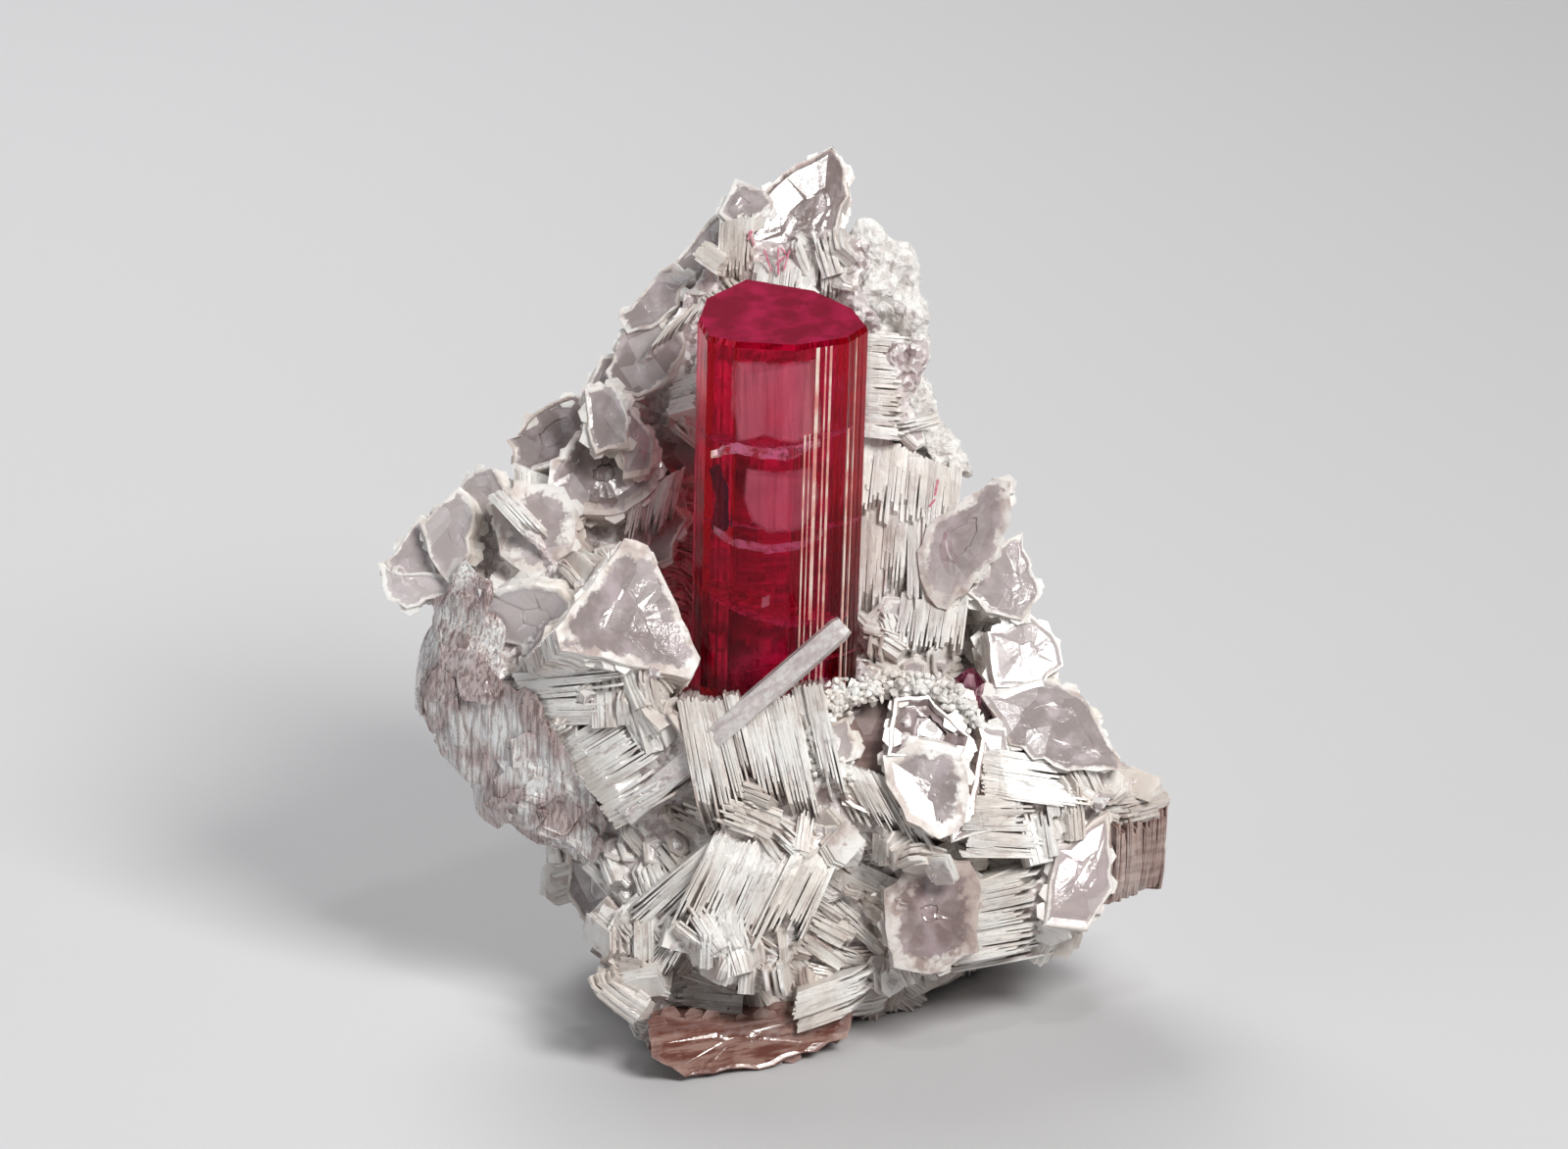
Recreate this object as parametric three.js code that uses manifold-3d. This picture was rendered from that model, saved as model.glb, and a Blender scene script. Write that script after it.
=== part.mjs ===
// Elbaite on matrix: one deep red tourmaline prism standing in a nest of pale mica books, with a small second
// crystal in a pocket on the right and a knobbly white albite growth along the upper right edge.
// Millimetres, +Z up. The origin is on the flat broken underside, straight below the foot of the large crystal.
import * as THREE from "three";
import { mergeVertices } from "three/addons/utils/BufferGeometryUtils.js";
import Module from "manifold-3d";

const wasm = await Module();
wasm.setup();

// Driving dimensions. The mica books are laid out as [right, up, near] on a plane that leans back by layoutLean.
const layoutLean = THREE.MathUtils.degToRad(20);
const socketGap = 0.32;
const crystal = { width: 11.9, foot: 15.5, top: 51.0, leanDeg: 1.5, footX: -0.3, y: 0, bevel: 0.55,
  footInset: 0.15, topInset: 0.22 };
const smallCrystal = { at: [13.7, 20.9, 9.2], radius: 1.05, length: 4.6, turnDeg: 24, leanDeg: 16, shoulder: 0.66,
  point: 0.4 };
const albite = { near: 3.1, deep: 6.5, taper: 0.9, slope: -0.12 };
const ground = { wide: 120, deep: 20 };

const up = new THREE.Vector3(0, Math.sin(layoutLean), Math.cos(layoutLean));
const near = new THREE.Vector3(0, -Math.cos(layoutLean), Math.sin(layoutLean));

// A layout point [right, up, near] in the part's own frame.
function placed([right, high, forward]) {
  return new THREE.Vector3(right, 0, 0).addScaledVector(up, high).addScaledVector(near, forward);
}

// A repeatable number from 0 to 1 for a piece and a place on it.
function chance(seed, place) {
  const wave = Math.sin(seed * 127.1 + place * 311.7 + 4.7) * 43758.5453;
  return wave - Math.floor(wave);
}

const between = ([low, high], share) => low + (high - low) * share;

// A closed geometry through rings of points, with flat ends. Rings run from the front end to the rear one.
function skin(rings, flatEnd) {
  const size = rings[0].length;
  const position = rings.flat().flatMap((p) => [p.x, p.y, p.z]);
  const index = [];
  for (let r = 0; r + 1 < rings.length; r++)
    for (let k = 0; k < size; k++) {
      const [a, b] = [r * size + k, r * size + ((k + 1) % size)];
      index.push(a, a + size, b, b, a + size, b + size);
    }
  const last = (rings.length - 1) * size;
  const turnsLeft = THREE.ShapeUtils.area(flatEnd) > 0;
  for (const face of THREE.ShapeUtils.triangulateShape(flatEnd, [])) {
    const sameWay = THREE.ShapeUtils.area(face.map((k) => flatEnd[k])) > 0 === turnsLeft;
    const [a, b, c] = sameWay ? face : [...face].reverse();
    index.push(a, b, c);
    index.push(last + a, last + c, last + b);
  }
  const geometry = new THREE.BufferGeometry();
  geometry.setAttribute("position", new THREE.Float32BufferAttribute(position, 3));
  return geometry.setIndex(index);
}

// The closed solid of a geometry, turned the right way out.
function solid(geometry) {
  const bare = new THREE.BufferGeometry().setAttribute("position", geometry.getAttribute("position"));
  if (geometry.index) bare.setIndex(geometry.index);
  const merged = mergeVertices(bare, 1e-3);
  const vertProperties = merged.attributes.position.array;
  const build = (triVerts) => new wasm.Manifold(new wasm.Mesh({ numProp: 3, vertProperties, triVerts }));
  const made = build(new Uint32Array(merged.index.array));
  return made.volume() > 0 ? made : build(new Uint32Array(merged.index.array).reverse());
}

const join = (solids) => solids.reduce((sum, next) => sum.add(next));

// One mica book: plates stacked from the face to the rear outline, each a little wider or narrower than the last.
// face is its outline [right, up] as it lies in the layout, near and slope give the plane of the face, and back
// is the way to the rear end, which is taper times as wide.
function book({ face, near: forward, slope = [0, 0], back, taper = 0.8, plates = 2, rough = 0.06 }) {
  const middle = face.reduce(([x, y], [a, b]) => [x + a / face.length, y + b / face.length], [0, 0]);
  const seed = middle[0] * 3.1 + middle[1];
  const depthAt = (a, b) => forward + slope[0] * (a - middle[0]) + slope[1] * (b - middle[1]);
  const ring = (t, spread) => {
    const size = (1 + (taper - 1) * t) * spread;
    return face.map(([a, b]) => {
      const [x, y] = [middle[0] + (a - middle[0]) * size, middle[1] + (b - middle[1]) * size];
      return placed([x + back[0] * t, y + back[1] * t, depthAt(x, y) + back[2] * t]);
    });
  };
  const rings = [];
  for (let plate = 0; plate < plates; plate++) {
    const spread = plate ? 1 + rough * (2 * chance(seed, plate) - 1) : 1;
    rings.push(ring(plate / plates, spread), ring((plate + 1) / plates, spread));
  }
  return solid(skin(rings, face.map(([a, b]) => new THREE.Vector2(a, b))));
}

// Mica plates seen on their edges, as one stepped piece: tilted ledges side by side from one corner to another,
// each plate standing out and reaching along by its own amount. fan turns the last plates away from the first.
function laths({ from, to, along, deep, plates = 4, ragged = 0.24, relief = 0.9, fan = [0, 0, 0] }) {
  const [start, end] = [placed(from), placed(to)];
  const [run, depth, spread] = [placed(along), placed(deep), placed(fan)];
  const seed = from[0] * 5.3 + from[1];
  const edge = [];
  for (let plate = 0; plate < plates; plate++) {
    const foot = 0.6 * chance(seed, plate + 40);
    const reach = run.clone().addScaledVector(spread, plate / Math.max(1, plates - 1));
    reach.multiplyScalar(1 - ragged * chance(seed, plate));
    for (const [step, lift] of [[plate, foot], [plate + 1, foot + relief]]) {
      const corner = start.clone().lerp(end, step / plates).addScaledVector(near, lift);
      edge.push({ corner, reach, flat: new THREE.Vector2(step, lift) });
    }
  }
  const [first, last] = [edge[0], edge[edge.length - 1]];
  edge.push({ corner: end.clone().add(depth), reach: last.reach, flat: new THREE.Vector2(plates, -1) });
  edge.push({ corner: start.clone().add(depth), reach: first.reach, flat: new THREE.Vector2(0, -1) });
  const ring = (t) => edge.map(({ corner, reach }) => corner.clone().addScaledVector(reach, t));
  return solid(skin([ring(0), ring(1)], edge.map(({ flat }) => flat)));
}

// A rough lump of rock through level outlines [x, y] in the part's own frame.
function lump(levels) {
  const rings = levels.map(({ z, outline }) => outline.map(([x, y]) => new THREE.Vector3(x, y, z)));
  return solid(skin(rings, levels[0].outline.map((p) => new THREE.Vector2(...p))));
}

// A faceted pebble, for knobs and rounded lobes.
function pebble([right, high, forward], [wide, tall, thick], turn = 0) {
  const geometry = new THREE.IcosahedronGeometry(1, 1);
  const points = geometry.getAttribute("position");
  const v = new THREE.Vector3();
  for (let i = 0; i < points.count; i++) {
    v.fromBufferAttribute(points, i);
    const place = Math.round(v.x * 50) + Math.round(v.y * 50) * 3 + Math.round(v.z * 50) * 7;
    v.multiplyScalar(0.9 + 0.2 * chance(right + high, place));
    points.setXYZ(i, v.x, v.y, v.z);
  }
  const basis = new THREE.Matrix4().makeBasis(new THREE.Vector3(1, 0, 0), up, near);
  geometry.applyMatrix4(new THREE.Matrix4().makeScale(wide, tall, thick));
  geometry.applyMatrix4(new THREE.Matrix4().makeRotationZ(THREE.MathUtils.degToRad(turn)));
  geometry.applyMatrix4(basis.setPosition(placed([right, high, forward])));
  return solid(geometry);
}

// The large elbaite: a rounded three-sided prism with narrow faces between the broad ones and a flat end.
const prismOutline = [
  [-0.5, -0.12], [-0.44, -0.39], [-0.28, -0.47], [0.08, -0.5], [0.39, -0.36],
  [0.5, -0.17], [0.42, 0.08], [0.19, 0.35], [-0.22, 0.51], [-0.46, 0.19],
];

function elbaite(grow) {
  const ring = (z, inset) => prismOutline.map(([x, y]) => {
    const reach = crystal.width + 2 * grow - 2 * inset;
    return new THREE.Vector3(x * reach, y * reach, z);
  });
  const top = crystal.top + grow;
  const foot = crystal.foot - grow;
  const rings = [ring(foot, crystal.footInset), ring(top - crystal.bevel, 0), ring(top, crystal.topInset)];
  const geometry = skin(rings.reverse(), prismOutline.map((p) => new THREE.Vector2(...p)));
  const lean = new THREE.Matrix4().makeRotationY(THREE.MathUtils.degToRad(crystal.leanDeg));
  geometry.translate(0, 0, -foot).applyMatrix4(lean).translate(crystal.footX, crystal.y, foot);
  return solid(geometry);
}

// The small elbaite in the pocket: a short six-sided prism with a low point, half sunk in the mica.
function smallElbaite(grow) {
  const { at, radius, length, turnDeg, leanDeg, shoulder, point } = smallCrystal;
  const reach = radius + grow;
  const rise = length / 2 + grow;
  const outline = [0, 1, 2, 3, 4, 5].map((k) =>
    new THREE.Vector2(Math.cos((k * Math.PI) / 3), Math.sin((k * Math.PI) / 3)));
  const ring = (z, scale) => outline.map((p) => new THREE.Vector3(p.x * scale * reach, p.y * scale * reach, z));
  const geometry = skin([ring(rise, point), ring(rise * shoulder, 1), ring(-rise, 1)], outline);
  geometry.rotateX(THREE.MathUtils.degToRad(leanDeg));
  geometry.rotateZ(THREE.MathUtils.degToRad(turnDeg));
  geometry.translate(...placed(at).toArray());
  return solid(geometry);
}

// Rock that the books grow from: the foot and shelf, the wall behind the crystal, and the lobe on the left.
const footLevels = [
  { z: -1, outline: [[-11, -8], [-8.5, -14], [-5, -14.6], [4.4, -8.4], [9, -4.5], [13.5, 2], [13, 8], [7, 12.5],
    [-4, 13.5], [-12, 7]] },
  { z: 8, outline: [[-12, -5], [-9, -10.5], [-3, -11.5], [7, -9.5], [15, -6.5], [22.5, -2], [22, 6], [12, 13.5],
    [-5, 14.5], [-14, 8]] },
  { z: 16, outline: [[-17, -2], [-12, -6.5], [-4, -9], [6, -8.5], [14, -5], [20.5, -1], [19.5, 7], [11, 14],
    [-6, 14.6], [-17, 9]] },
  { z: 22.6, outline: [[-19, 0], [-14, -4], [-6.5, -6], [6.5, -6.5], [13, -3], [17, 1], [16, 8], [10, 14],
    [-6, 14.6], [-17, 10]] },
];
const wallLevels = [
  { z: 19, outline: [[-15, 7], [-7, 8], [0, 8], [7, 7.5], [14, 5.5], [16.5, 8], [15, 11.5], [8, 14.6], [-6, 15],
    [-16, 11.5]] },
  { z: 34, outline: [[-17, 6.5], [-9, 8.5], [0, 9.6], [7, 9], [12, 8.5], [13.8, 10.5], [11.5, 13], [6, 15.4],
    [-6, 15.4], [-15, 11.5]] },
  { z: 44, outline: [[-10.5, 9.5], [-6, 10.2], [0, 10.8], [5.5, 10.6], [8.5, 10.5], [9.6, 12], [8, 14],
    [4, 15.8], [-4, 15.6], [-9.4, 13]] },
  { z: 53, outline: [[-4.2, 11.5], [-2, 11.4], [1, 11.5], [4.5, 11.6], [6.6, 12], [7.2, 13], [6, 14.6],
    [3, 15.6], [-1, 15.6], [-4, 14]] },
];
const lobeLevels = [
  { z: 13, outline: [[-17, 0], [-13, -3], [-8, -2], [-8, 8], [-14, 10], [-18, 6]] },
  { z: 20, outline: [[-22, 1], [-16, -5], [-7, -5], [-7, 8], [-15, 12], [-22, 9]] },
  { z: 27, outline: [[-22.5, 1], [-17, -5], [-8.5, -5.5], [-8, 8], [-16, 12], [-23, 9]] },
  { z: 33, outline: [[-20, 3], [-16, -1], [-11, -1.5], [-10, 8], [-16, 12], [-21, 8]] },
];

// Books and laths, zone by zone, read from the top left down to the foot on the right.
const crownBooks = [
  { face: [[-2.6, 55.2], [0.7, 58.2], [4.1, 60.2], [5.1, 58.8], [5.2, 56.8], [4.3, 54.3], [3.5, 52.2], [0.7, 50.6],
    [-2.3, 51.6]], near: 4.2, slope: [-0.25, -0.3], back: [0.4, -1.8, -5.5], taper: 0.82 },
  { face: [[-3.9, 55.4], [-2.8, 57.8], [-0.8, 56.8], [0.1, 56.1], [-1.9, 54.2], [-3.3, 54.6]],
    near: 5.4, slope: [0.3, -0.5], back: [0.2, -2, -4.5], taper: 0.9 },
  { face: [[-7.5, 51.7], [-3.9, 55.7], [-2.8, 54.7], [-2.7, 51.6], [-3.9, 50.2], [-6.3, 50]],
    near: 3.6, slope: [0.35, -0.1], back: [1.2, -1.6, -4.5], taper: 0.85 },
  { face: [[-11.1, 48.1], [-7.3, 51.8], [-5.8, 50.9], [-6.8, 48.8], [-8.9, 47.3], [-10.5, 46.9]],
    near: 4.4, slope: [0.3, -0.2], back: [1.6, -1.8, -5.5], taper: 0.85 },
  { face: [[-12, 44.2], [-10.6, 47.1], [-8.8, 47.8], [-6.8, 47.3], [-6.1, 46], [-7.5, 43.7], [-9.6, 42.4],
    [-11.6, 42.6]], near: 5, slope: [0.25, -0.35], back: [1.5, -1.5, -6], taper: 0.85 },
  { face: [[-9.6, 42.8], [-7.2, 46.6], [-4.3, 48.6], [-3.2, 46], [-3.6, 37], [-6.8, 36], [-9.6, 39]],
    near: 3.6, slope: [-0.12, 0.05], back: [1, -1, -5], taper: 0.9 },
  { face: [[-13.6, 42.4], [-12.4, 45.2], [-10.4, 45.4], [-10.3, 42.9]],
    near: 3.2, slope: [0.2, 0], back: [1.5, -1.5, -4], taper: 0.9 },
];
const crownLaths = [
  { from: [-3.9, 54.6, 5.2], to: [-1.6, 55, 5.6], along: [-0.3, -6.2, 0.4], deep: [0.2, 0, -3], plates: 3 },
  { from: [-7.6, 47.4, 5.2], to: [-3.2, 50.6, 4.6], along: [-2.4, -3.2, 0.6], deep: [0, -0.5, -3], plates: 4 },
  { from: [-1.4, 51.6, 5.6], to: [2.8, 51.6, 5.8], along: [-0.6, -4.4, 0.8], deep: [0, 0, -4], plates: 4 },
];

const upperLeftBooks = [
  { face: [[-19.1, 39.3], [-17, 41.2], [-14, 42.6], [-12.9, 41.8], [-13.2, 39.6], [-15.4, 37.6], [-17.5, 36.9],
    [-18.6, 37.6]], near: 5, slope: [0.25, -0.3], back: [2, -2.6, -6], taper: 0.75 },
  { face: [[-15.8, 37.8], [-14, 39.7], [-10.5, 40.4], [-8.4, 39.3], [-8.1, 36.9], [-9.2, 35], [-11.5, 33.8],
    [-14.5, 34], [-16.2, 35.6]], near: 8, slope: [-0.1, -0.35], back: [1.4, -3, -7], taper: 0.8 },
  { face: [[-13.3, 42.8], [-11.5, 43.3], [-10.5, 41.1], [-10.2, 38.6], [-12.6, 38.2], [-13.2, 39.7]],
    near: 9.8, slope: [0.1, -0.3], back: [0.2, -0.6, -4.5], taper: 0.95 },
  { face: [[-10.6, 42.4], [-9.3, 40.4], [-8.4, 39.2], [-8.8, 36.7], [-10.4, 36.3], [-10.9, 38.6]],
    near: 9, slope: [-0.3, 0], back: [-0.3, -0.8, -4.5], taper: 0.9 },
  { face: [[-14.4, 33.8], [-7.4, 35.6], [-6.2, 33.6], [-7.4, 30.8], [-9.8, 29.6], [-12.4, 31.8]],
    near: 6.4, slope: [0.1, -0.4], back: [0.5, 0, -6], taper: 0.8 },
];
const upperLeftLaths = [
  { from: [-10.2, 34.6, 8.2], to: [-6.6, 36.6, 6.4], along: [-1.2, -5.6, -0.6], deep: [0, 0, -4], plates: 4 },
  { from: [-18.6, 37.4, 6], to: [-16, 36.4, 6.6], along: [0.2, -2.6, 0.5], deep: [0.4, 0, -3], plates: 3 },
];

const farLeftBooks = [
  { face: [[-27.6, 30.6], [-25.2, 33.6], [-23.6, 32.7], [-24.2, 29], [-27, 29]],
    near: 7, slope: [0.3, -0.35], back: [2.6, 0, -5], taper: 0.8 },
  { face: [[-25.2, 33.4], [-22.4, 35.6], [-21.1, 34.1], [-21.6, 31.1], [-23, 29], [-24.6, 31]],
    near: 8.2, slope: [0.3, -0.3], back: [2.4, -0.4, -5], taper: 0.8 },
  { face: [[-28.1, 30.5], [-27, 29.9], [-23, 29.3], [-22.6, 28.3], [-26.1, 27.2], [-27.5, 27.9]],
    near: 8, slope: [0.2, -0.4], back: [3, 0.6, -4.5], taper: 0.8 },
  { face: [[-22.2, 36.2], [-21.4, 37.3], [-20, 37.3], [-19.3, 36], [-18.6, 33], [-19.4, 29.4], [-22.3, 30.2]],
    near: 7, slope: [0.5, 0.1], back: [1.6, -0.8, -3.6], taper: 0.9 },
  { face: [[-20, 34.6], [-18.4, 36], [-15, 35.7], [-13.8, 34], [-14.2, 31.3], [-17, 29.3], [-19.5, 31]],
    near: 9.6, slope: [0.15, -0.35], back: [1.5, -1, -7], taper: 0.85 },
];
const farLeftLaths = [
  { from: [-20.2, 35, 10.4], to: [-19, 35.6, 10.2], along: [4.6, -5, 1], deep: [0.5, -0.5, -3], plates: 2 },
];

const leftBooks = [
  { face: [[-10.4, 32.1], [-8.9, 31.7], [-5.2, 23.9], [-5.9, 22.3], [-14.9, 24.5], [-15.2, 25.6]],
    near: 16.4, slope: [-0.5, -0.16], back: [-3.6, -3.6, -9], taper: 1.02, plates: 4, rough: 0.04 },
  { face: [[-20.8, 28.6], [-15, 28.6], [-13, 25], [-16, 24.3], [-20.3, 25]],
    near: 12, slope: [0.3, 0.3], back: [2.6, 3.4, -8], taper: 0.95 },
  { face: [[-24, 26.6], [-22.6, 28.6], [-20.6, 27.2], [-18, 22.5], [-19, 18.4], [-23.4, 20.4]],
    near: 10.6, slope: [0.5, 0.1], back: [2, 0.6, -8], taper: 0.85 },
  { face: [[-23.6, 20.6], [-18.6, 22], [-14.4, 18], [-14.8, 14.4], [-18, 12.6], [-21.8, 15.6]],
    near: 12, slope: [0.4, 0.3], back: [2, 1.6, -8], taper: 0.85 },
  { face: [[-19.2, 14.8], [-15.6, 16.4], [-12.6, 13.6], [-14.4, 10.8], [-17.8, 10.6]],
    near: 11, slope: [0.3, 0.6], back: [1.6, 2.2, -6], taper: 0.85 },
];
const leftPebbles = [
  { at: [-20.4, 21.6, 6.8], size: [4.9, 6.4, 5.6], turn: 16 },
  { at: [-17.2, 15.6, 7.4], size: [4.4, 4.6, 5], turn: 35 },
];
const leftLaths = [
  { from: [-17.6, 22.6, 13.2], to: [-16.4, 19, 12.6], along: [10.6, 0.6, 3.6], deep: [0.4, 0.6, -6], plates: 4 },
  { from: [-17.6, 12, 9.6], to: [-13.6, 11, 9.6], along: [3.6, 4.4, 1.4], deep: [0.3, 0.6, -5], plates: 4 },
];

const rightWallBooks = [
  { face: [[5.6, 40], [9.6, 39], [13.2, 35.8], [11.4, 32], [8, 31], [5.9, 33]],
    near: 4.2, slope: [0.1, -0.1], back: [0, -1, -5], taper: 0.85 },
  { face: [[10.2, 31.3], [10.9, 33], [14, 35.1], [15.6, 36.5], [16.8, 36.3], [16.9, 34.2], [15.8, 31.3],
    [13.7, 28.4], [11.5, 27.2], [10.4, 29.2]], near: 7.2, slope: [0.25, -0.2], back: [-1, -1.6, -6], taper: 0.85 },
  { face: [[13.8, 28.4], [15.4, 31.4], [17.5, 32.4], [18.6, 29.9], [19, 28.1], [17.5, 26.5], [15, 27]],
    near: 7, slope: [0, -0.3], back: [-1.2, -1.6, -6], taper: 0.85 },
  { face: [[15.2, 25.6], [18.2, 26.7], [20.4, 24.6], [20.6, 23.2], [18.9, 21.4], [15.6, 21.8]],
    near: 8, slope: [-0.2, -0.3], back: [-1.5, -1, -6], taper: 0.9 },
  { face: [[14.6, 21.2], [18.9, 22.1], [21.7, 21.2], [23.5, 18.4], [24.6, 15.8], [20.7, 15.8], [16.6, 17.8]],
    near: 10, slope: [-0.15, -0.55], back: [-1, 0.4, -7], taper: 0.9 },
];
const rightWallLaths = [
  { from: [6.6, 47, 4.4], to: [6.4, 39.6, 5], along: [4.4, -0.4, -0.4], deep: [0, 0, -4], plates: 5, ragged: 0.1 },
  { from: [6, 31.6, 4.6], to: [9.6, 32.6, 5.2], along: [-0.6, -10, 2.6], deep: [0, 0, -4], plates: 4 },
  { from: [9, 27.8, 6], to: [13.6, 27.4, 6.6], along: [-1, -6, 2.4], deep: [0, 0.4, -4], plates: 5 },
];

const pocketBooks = [
  { face: [[2.3, 16.5], [3, 19.2], [5.2, 21.3], [8, 21.9], [11.5, 22], [14.2, 21], [14.8, 18], [14, 13], [12, 11.5],
    [9, 12.4], [5.5, 13.2]], near: 14.4, slope: [-0.2, -0.25], back: [0, -1.4, -7], taper: 0.95 },
  { face: [[7.9, 17], [8.4, 20.8], [10.9, 21.2], [13.9, 18], [13.2, 16.6]],
    near: 16, slope: [-0.25, -0.3], back: [0, 0, -4], taper: 0.95 },
  { face: [[7.6, 17], [10.2, 18], [13, 17.4], [13.9, 15.2], [13.4, 12.3], [11.6, 11.2], [9.3, 12.4], [8, 15]],
    near: 17, slope: [-0.1, -0.2], back: [-0.3, 0.6, -5], taper: 0.85 },
  { face: [[2.5, 19], [5.2, 19.6], [5.8, 16.6], [2.7, 16.1]],
    near: 16.6, slope: [0, -0.3], back: [0, 0.4, -5], taper: 0.95 },
  { face: [[14.2, 19.6], [16.4, 18.8], [17, 14.6], [14.8, 12.4], [13.4, 15]],
    near: 11.6, slope: [-0.2, -0.2], back: [0, 0, -5], taper: 0.9 },
];
const pocketLaths = [
  { from: [3, 16.8, 15.2], to: [8.6, 14.6, 15.4], along: [4.2, -7.6, -0.6], deep: [0, 0.5, -6], plates: 6,
    ragged: 0.25 },
];

const frontLaths = [
  { from: [-15.4, 17.6, 12.6], to: [-10.6, 12.2, 13.4], along: [7.4, 4.6, 2.2], deep: [0.4, 0.6, -6], plates: 5 },
  { from: [-6.6, 19.6, 15.6], to: [3.4, 21, 15.4], along: [2.6, -11.6, 1.6], deep: [0.2, 0.6, -6], plates: 8 },
  { from: [-4.6, 10.6, 17.4], to: [4.2, 9.4, 16.6], along: [-4.6, -9.6, 0.2], deep: [0.4, 0.8, -7], plates: 6 },
  { from: [-5.2, 10.4, 16.8], to: [-4.6, 6.4, 16.2], along: [-9.2, -7.2, -2.6], deep: [0.6, 0.8, -6], plates: 4,
    fan: [3.4, -2.2, 1.4] },
  { from: [2.2, 0.4, 14], to: [2, -2.4, 13.6], along: [7.6, 2.4, -3], deep: [0, 0.5, -6], plates: 4 },
];
const frontBooks = [
  { face: [[-14.6, 9.6], [-12, 10.3], [-8.6, 9], [-9, 5], [-13.3, 4.4], [-14.7, 6.8]],
    near: 6.4, slope: [0.3, -0.2], back: [1.5, 0, -7], taper: 0.9 },
  { face: [[-8.7, -2.2], [5.4, -1.2], [5, -3], [0, -4.9], [-6.3, -5.5], [-8.5, -4]],
    near: 15, slope: [-0.4, 0], back: [0.6, 3.4, -12], taper: 0.95 },
];

const footRightBooks = [
  { face: [[7.8, 7.5], [9.4, 9], [13.7, 9.3], [14.5, 7.5], [14.1, 3.2], [10.9, 1.5], [8.6, 2.1], [7.8, 4.7]],
    near: 14.4, slope: [0.1, -0.1], back: [0.4, 0.8, -8], taper: 0.9 },
  { face: [[23.5, 14.5], [25.9, 16.3], [27.8, 15.2], [28.1, 12.4], [27.8, 8.9], [25.6, 7], [24, 5.2], [23, 10.3]],
    near: 8.4, slope: [-0.45, 0.05], back: [-3.4, 0.4, -8], taper: 0.95, plates: 4 },
  { face: [[12, 14.4], [15.8, 16], [18.4, 14.8], [16, 12], [12.4, 10.8]],
    near: 12.4, slope: [0, -0.3], back: [0, 0, -6], taper: 0.9 },
  { face: [[20, 10.6], [23.6, 12.6], [24, 7.4], [22, 4.6], [19, 5]],
    near: 10.8, slope: [-0.3, -0.1], back: [-1, 0, -7], taper: 0.9 },
];
const footRightLaths = [
  { from: [15, 17.4, 10.8], to: [15.6, 14, 12], along: [11, -1.6, -2], deep: [-0.4, 0.5, -6], plates: 4 },
  { from: [13.8, 14, 12.4], to: [14, 9.8, 12.6], along: [9.6, -0.4, -2.6], deep: [-0.4, 0.5, -7], plates: 4 },
  { from: [14, 8, 12.6], to: [13.6, 2.4, 11.4], along: [8.6, 1.4, -2.6], deep: [-0.4, 0.8, -7], plates: 5 },
  { from: [12.6, 3, 9.6], to: [13.2, 1.6, 9], along: [11, 2.2, -2], deep: [-0.6, 0.8, -6], plates: 2 },
];

// The back, which grew against other rock: broken books set round the wall and the foot in five tiers.
const backTiers = [
  { z: 7, count: 6, radius: [19, 15.6], size: 5.2, startDeg: 12, endDeg: 158 },
  { z: 18, count: 7, radius: [20.5, 17], size: 5.8, startDeg: 16, endDeg: 162 },
  { z: 29, count: 5, radius: [17, 17.4], size: 5.6, startDeg: 42, endDeg: 144 },
  { z: 39, count: 3, radius: [11, 17.2], size: 5, startDeg: 66, endDeg: 124 },
  { z: 48, count: 2, radius: [7.5, 17.2], size: 4, startDeg: 84, endDeg: 116 },
];
const backShape = { corners: 5, tall: 0.8, deep: 1.3, plates: 2, tip: 0.5, reach: [0.72, 1.12], rough: 0.1 };
const backSpread = { rise: 4, reach: [0.97, 1.03], footShift: 2, footBelow: 10 };

// A broken book on the back, its plates facing outwards from the middle of the rock.
function backBook(x, y, z, size, seed) {
  const { tall, deep, plates, tip, reach, rough } = backShape;
  const out = new THREE.Vector3(x, y, 0).normalize().setZ(tip * (chance(seed, 1) - 0.5)).normalize();
  const side = new THREE.Vector3(0, 0, 1).cross(out).normalize();
  const rise = out.clone().cross(side);
  const turn = chance(seed, 2) * Math.PI;
  const corners = backShape.corners + Math.round(chance(seed, 3));
  const outline = [];
  for (let k = 0; k < corners; k++) {
    const angle = turn + (2 * Math.PI * k) / corners;
    const arm = size * between(reach, chance(seed, k + 5));
    outline.push(new THREE.Vector2(Math.cos(angle) * arm, Math.sin(angle) * arm * tall));
  }
  const centre = new THREE.Vector3(x, y, z);
  const rings = [];
  for (let plate = 0; plate < plates; plate++) {
    const spread = 1 + rough * (2 * chance(seed, plate + 20) - 1);
    for (const t of [plate / plates, (plate + 1) / plates])
      rings.push(outline.map((p) => centre.clone().addScaledVector(side, p.x * spread)
        .addScaledVector(rise, p.y * spread).addScaledVector(out, -t * size * deep)));
  }
  return solid(skin(rings, outline));
}

function backBooks() {
  const pieces = [];
  backTiers.forEach(({ z, count, radius, size, startDeg, endDeg }, tier) => {
    for (let k = 0; k < count; k++) {
      const seed = tier * 17 + k * 3.3;
      const angle = THREE.MathUtils.degToRad(startDeg + ((endDeg - startDeg) * k) / (count - 1));
      const height = z + backSpread.rise * (chance(seed, 8) - 0.5);
      const reach = between(backSpread.reach, chance(seed, 9));
      const [x, y] = [Math.cos(angle) * radius[0] * reach, Math.sin(angle) * radius[1] * reach];
      pieces.push(backBook(x + (z < backSpread.footBelow ? backSpread.footShift : 0), y, height, size, seed));
    }
  });
  return join(pieces);
}

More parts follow.
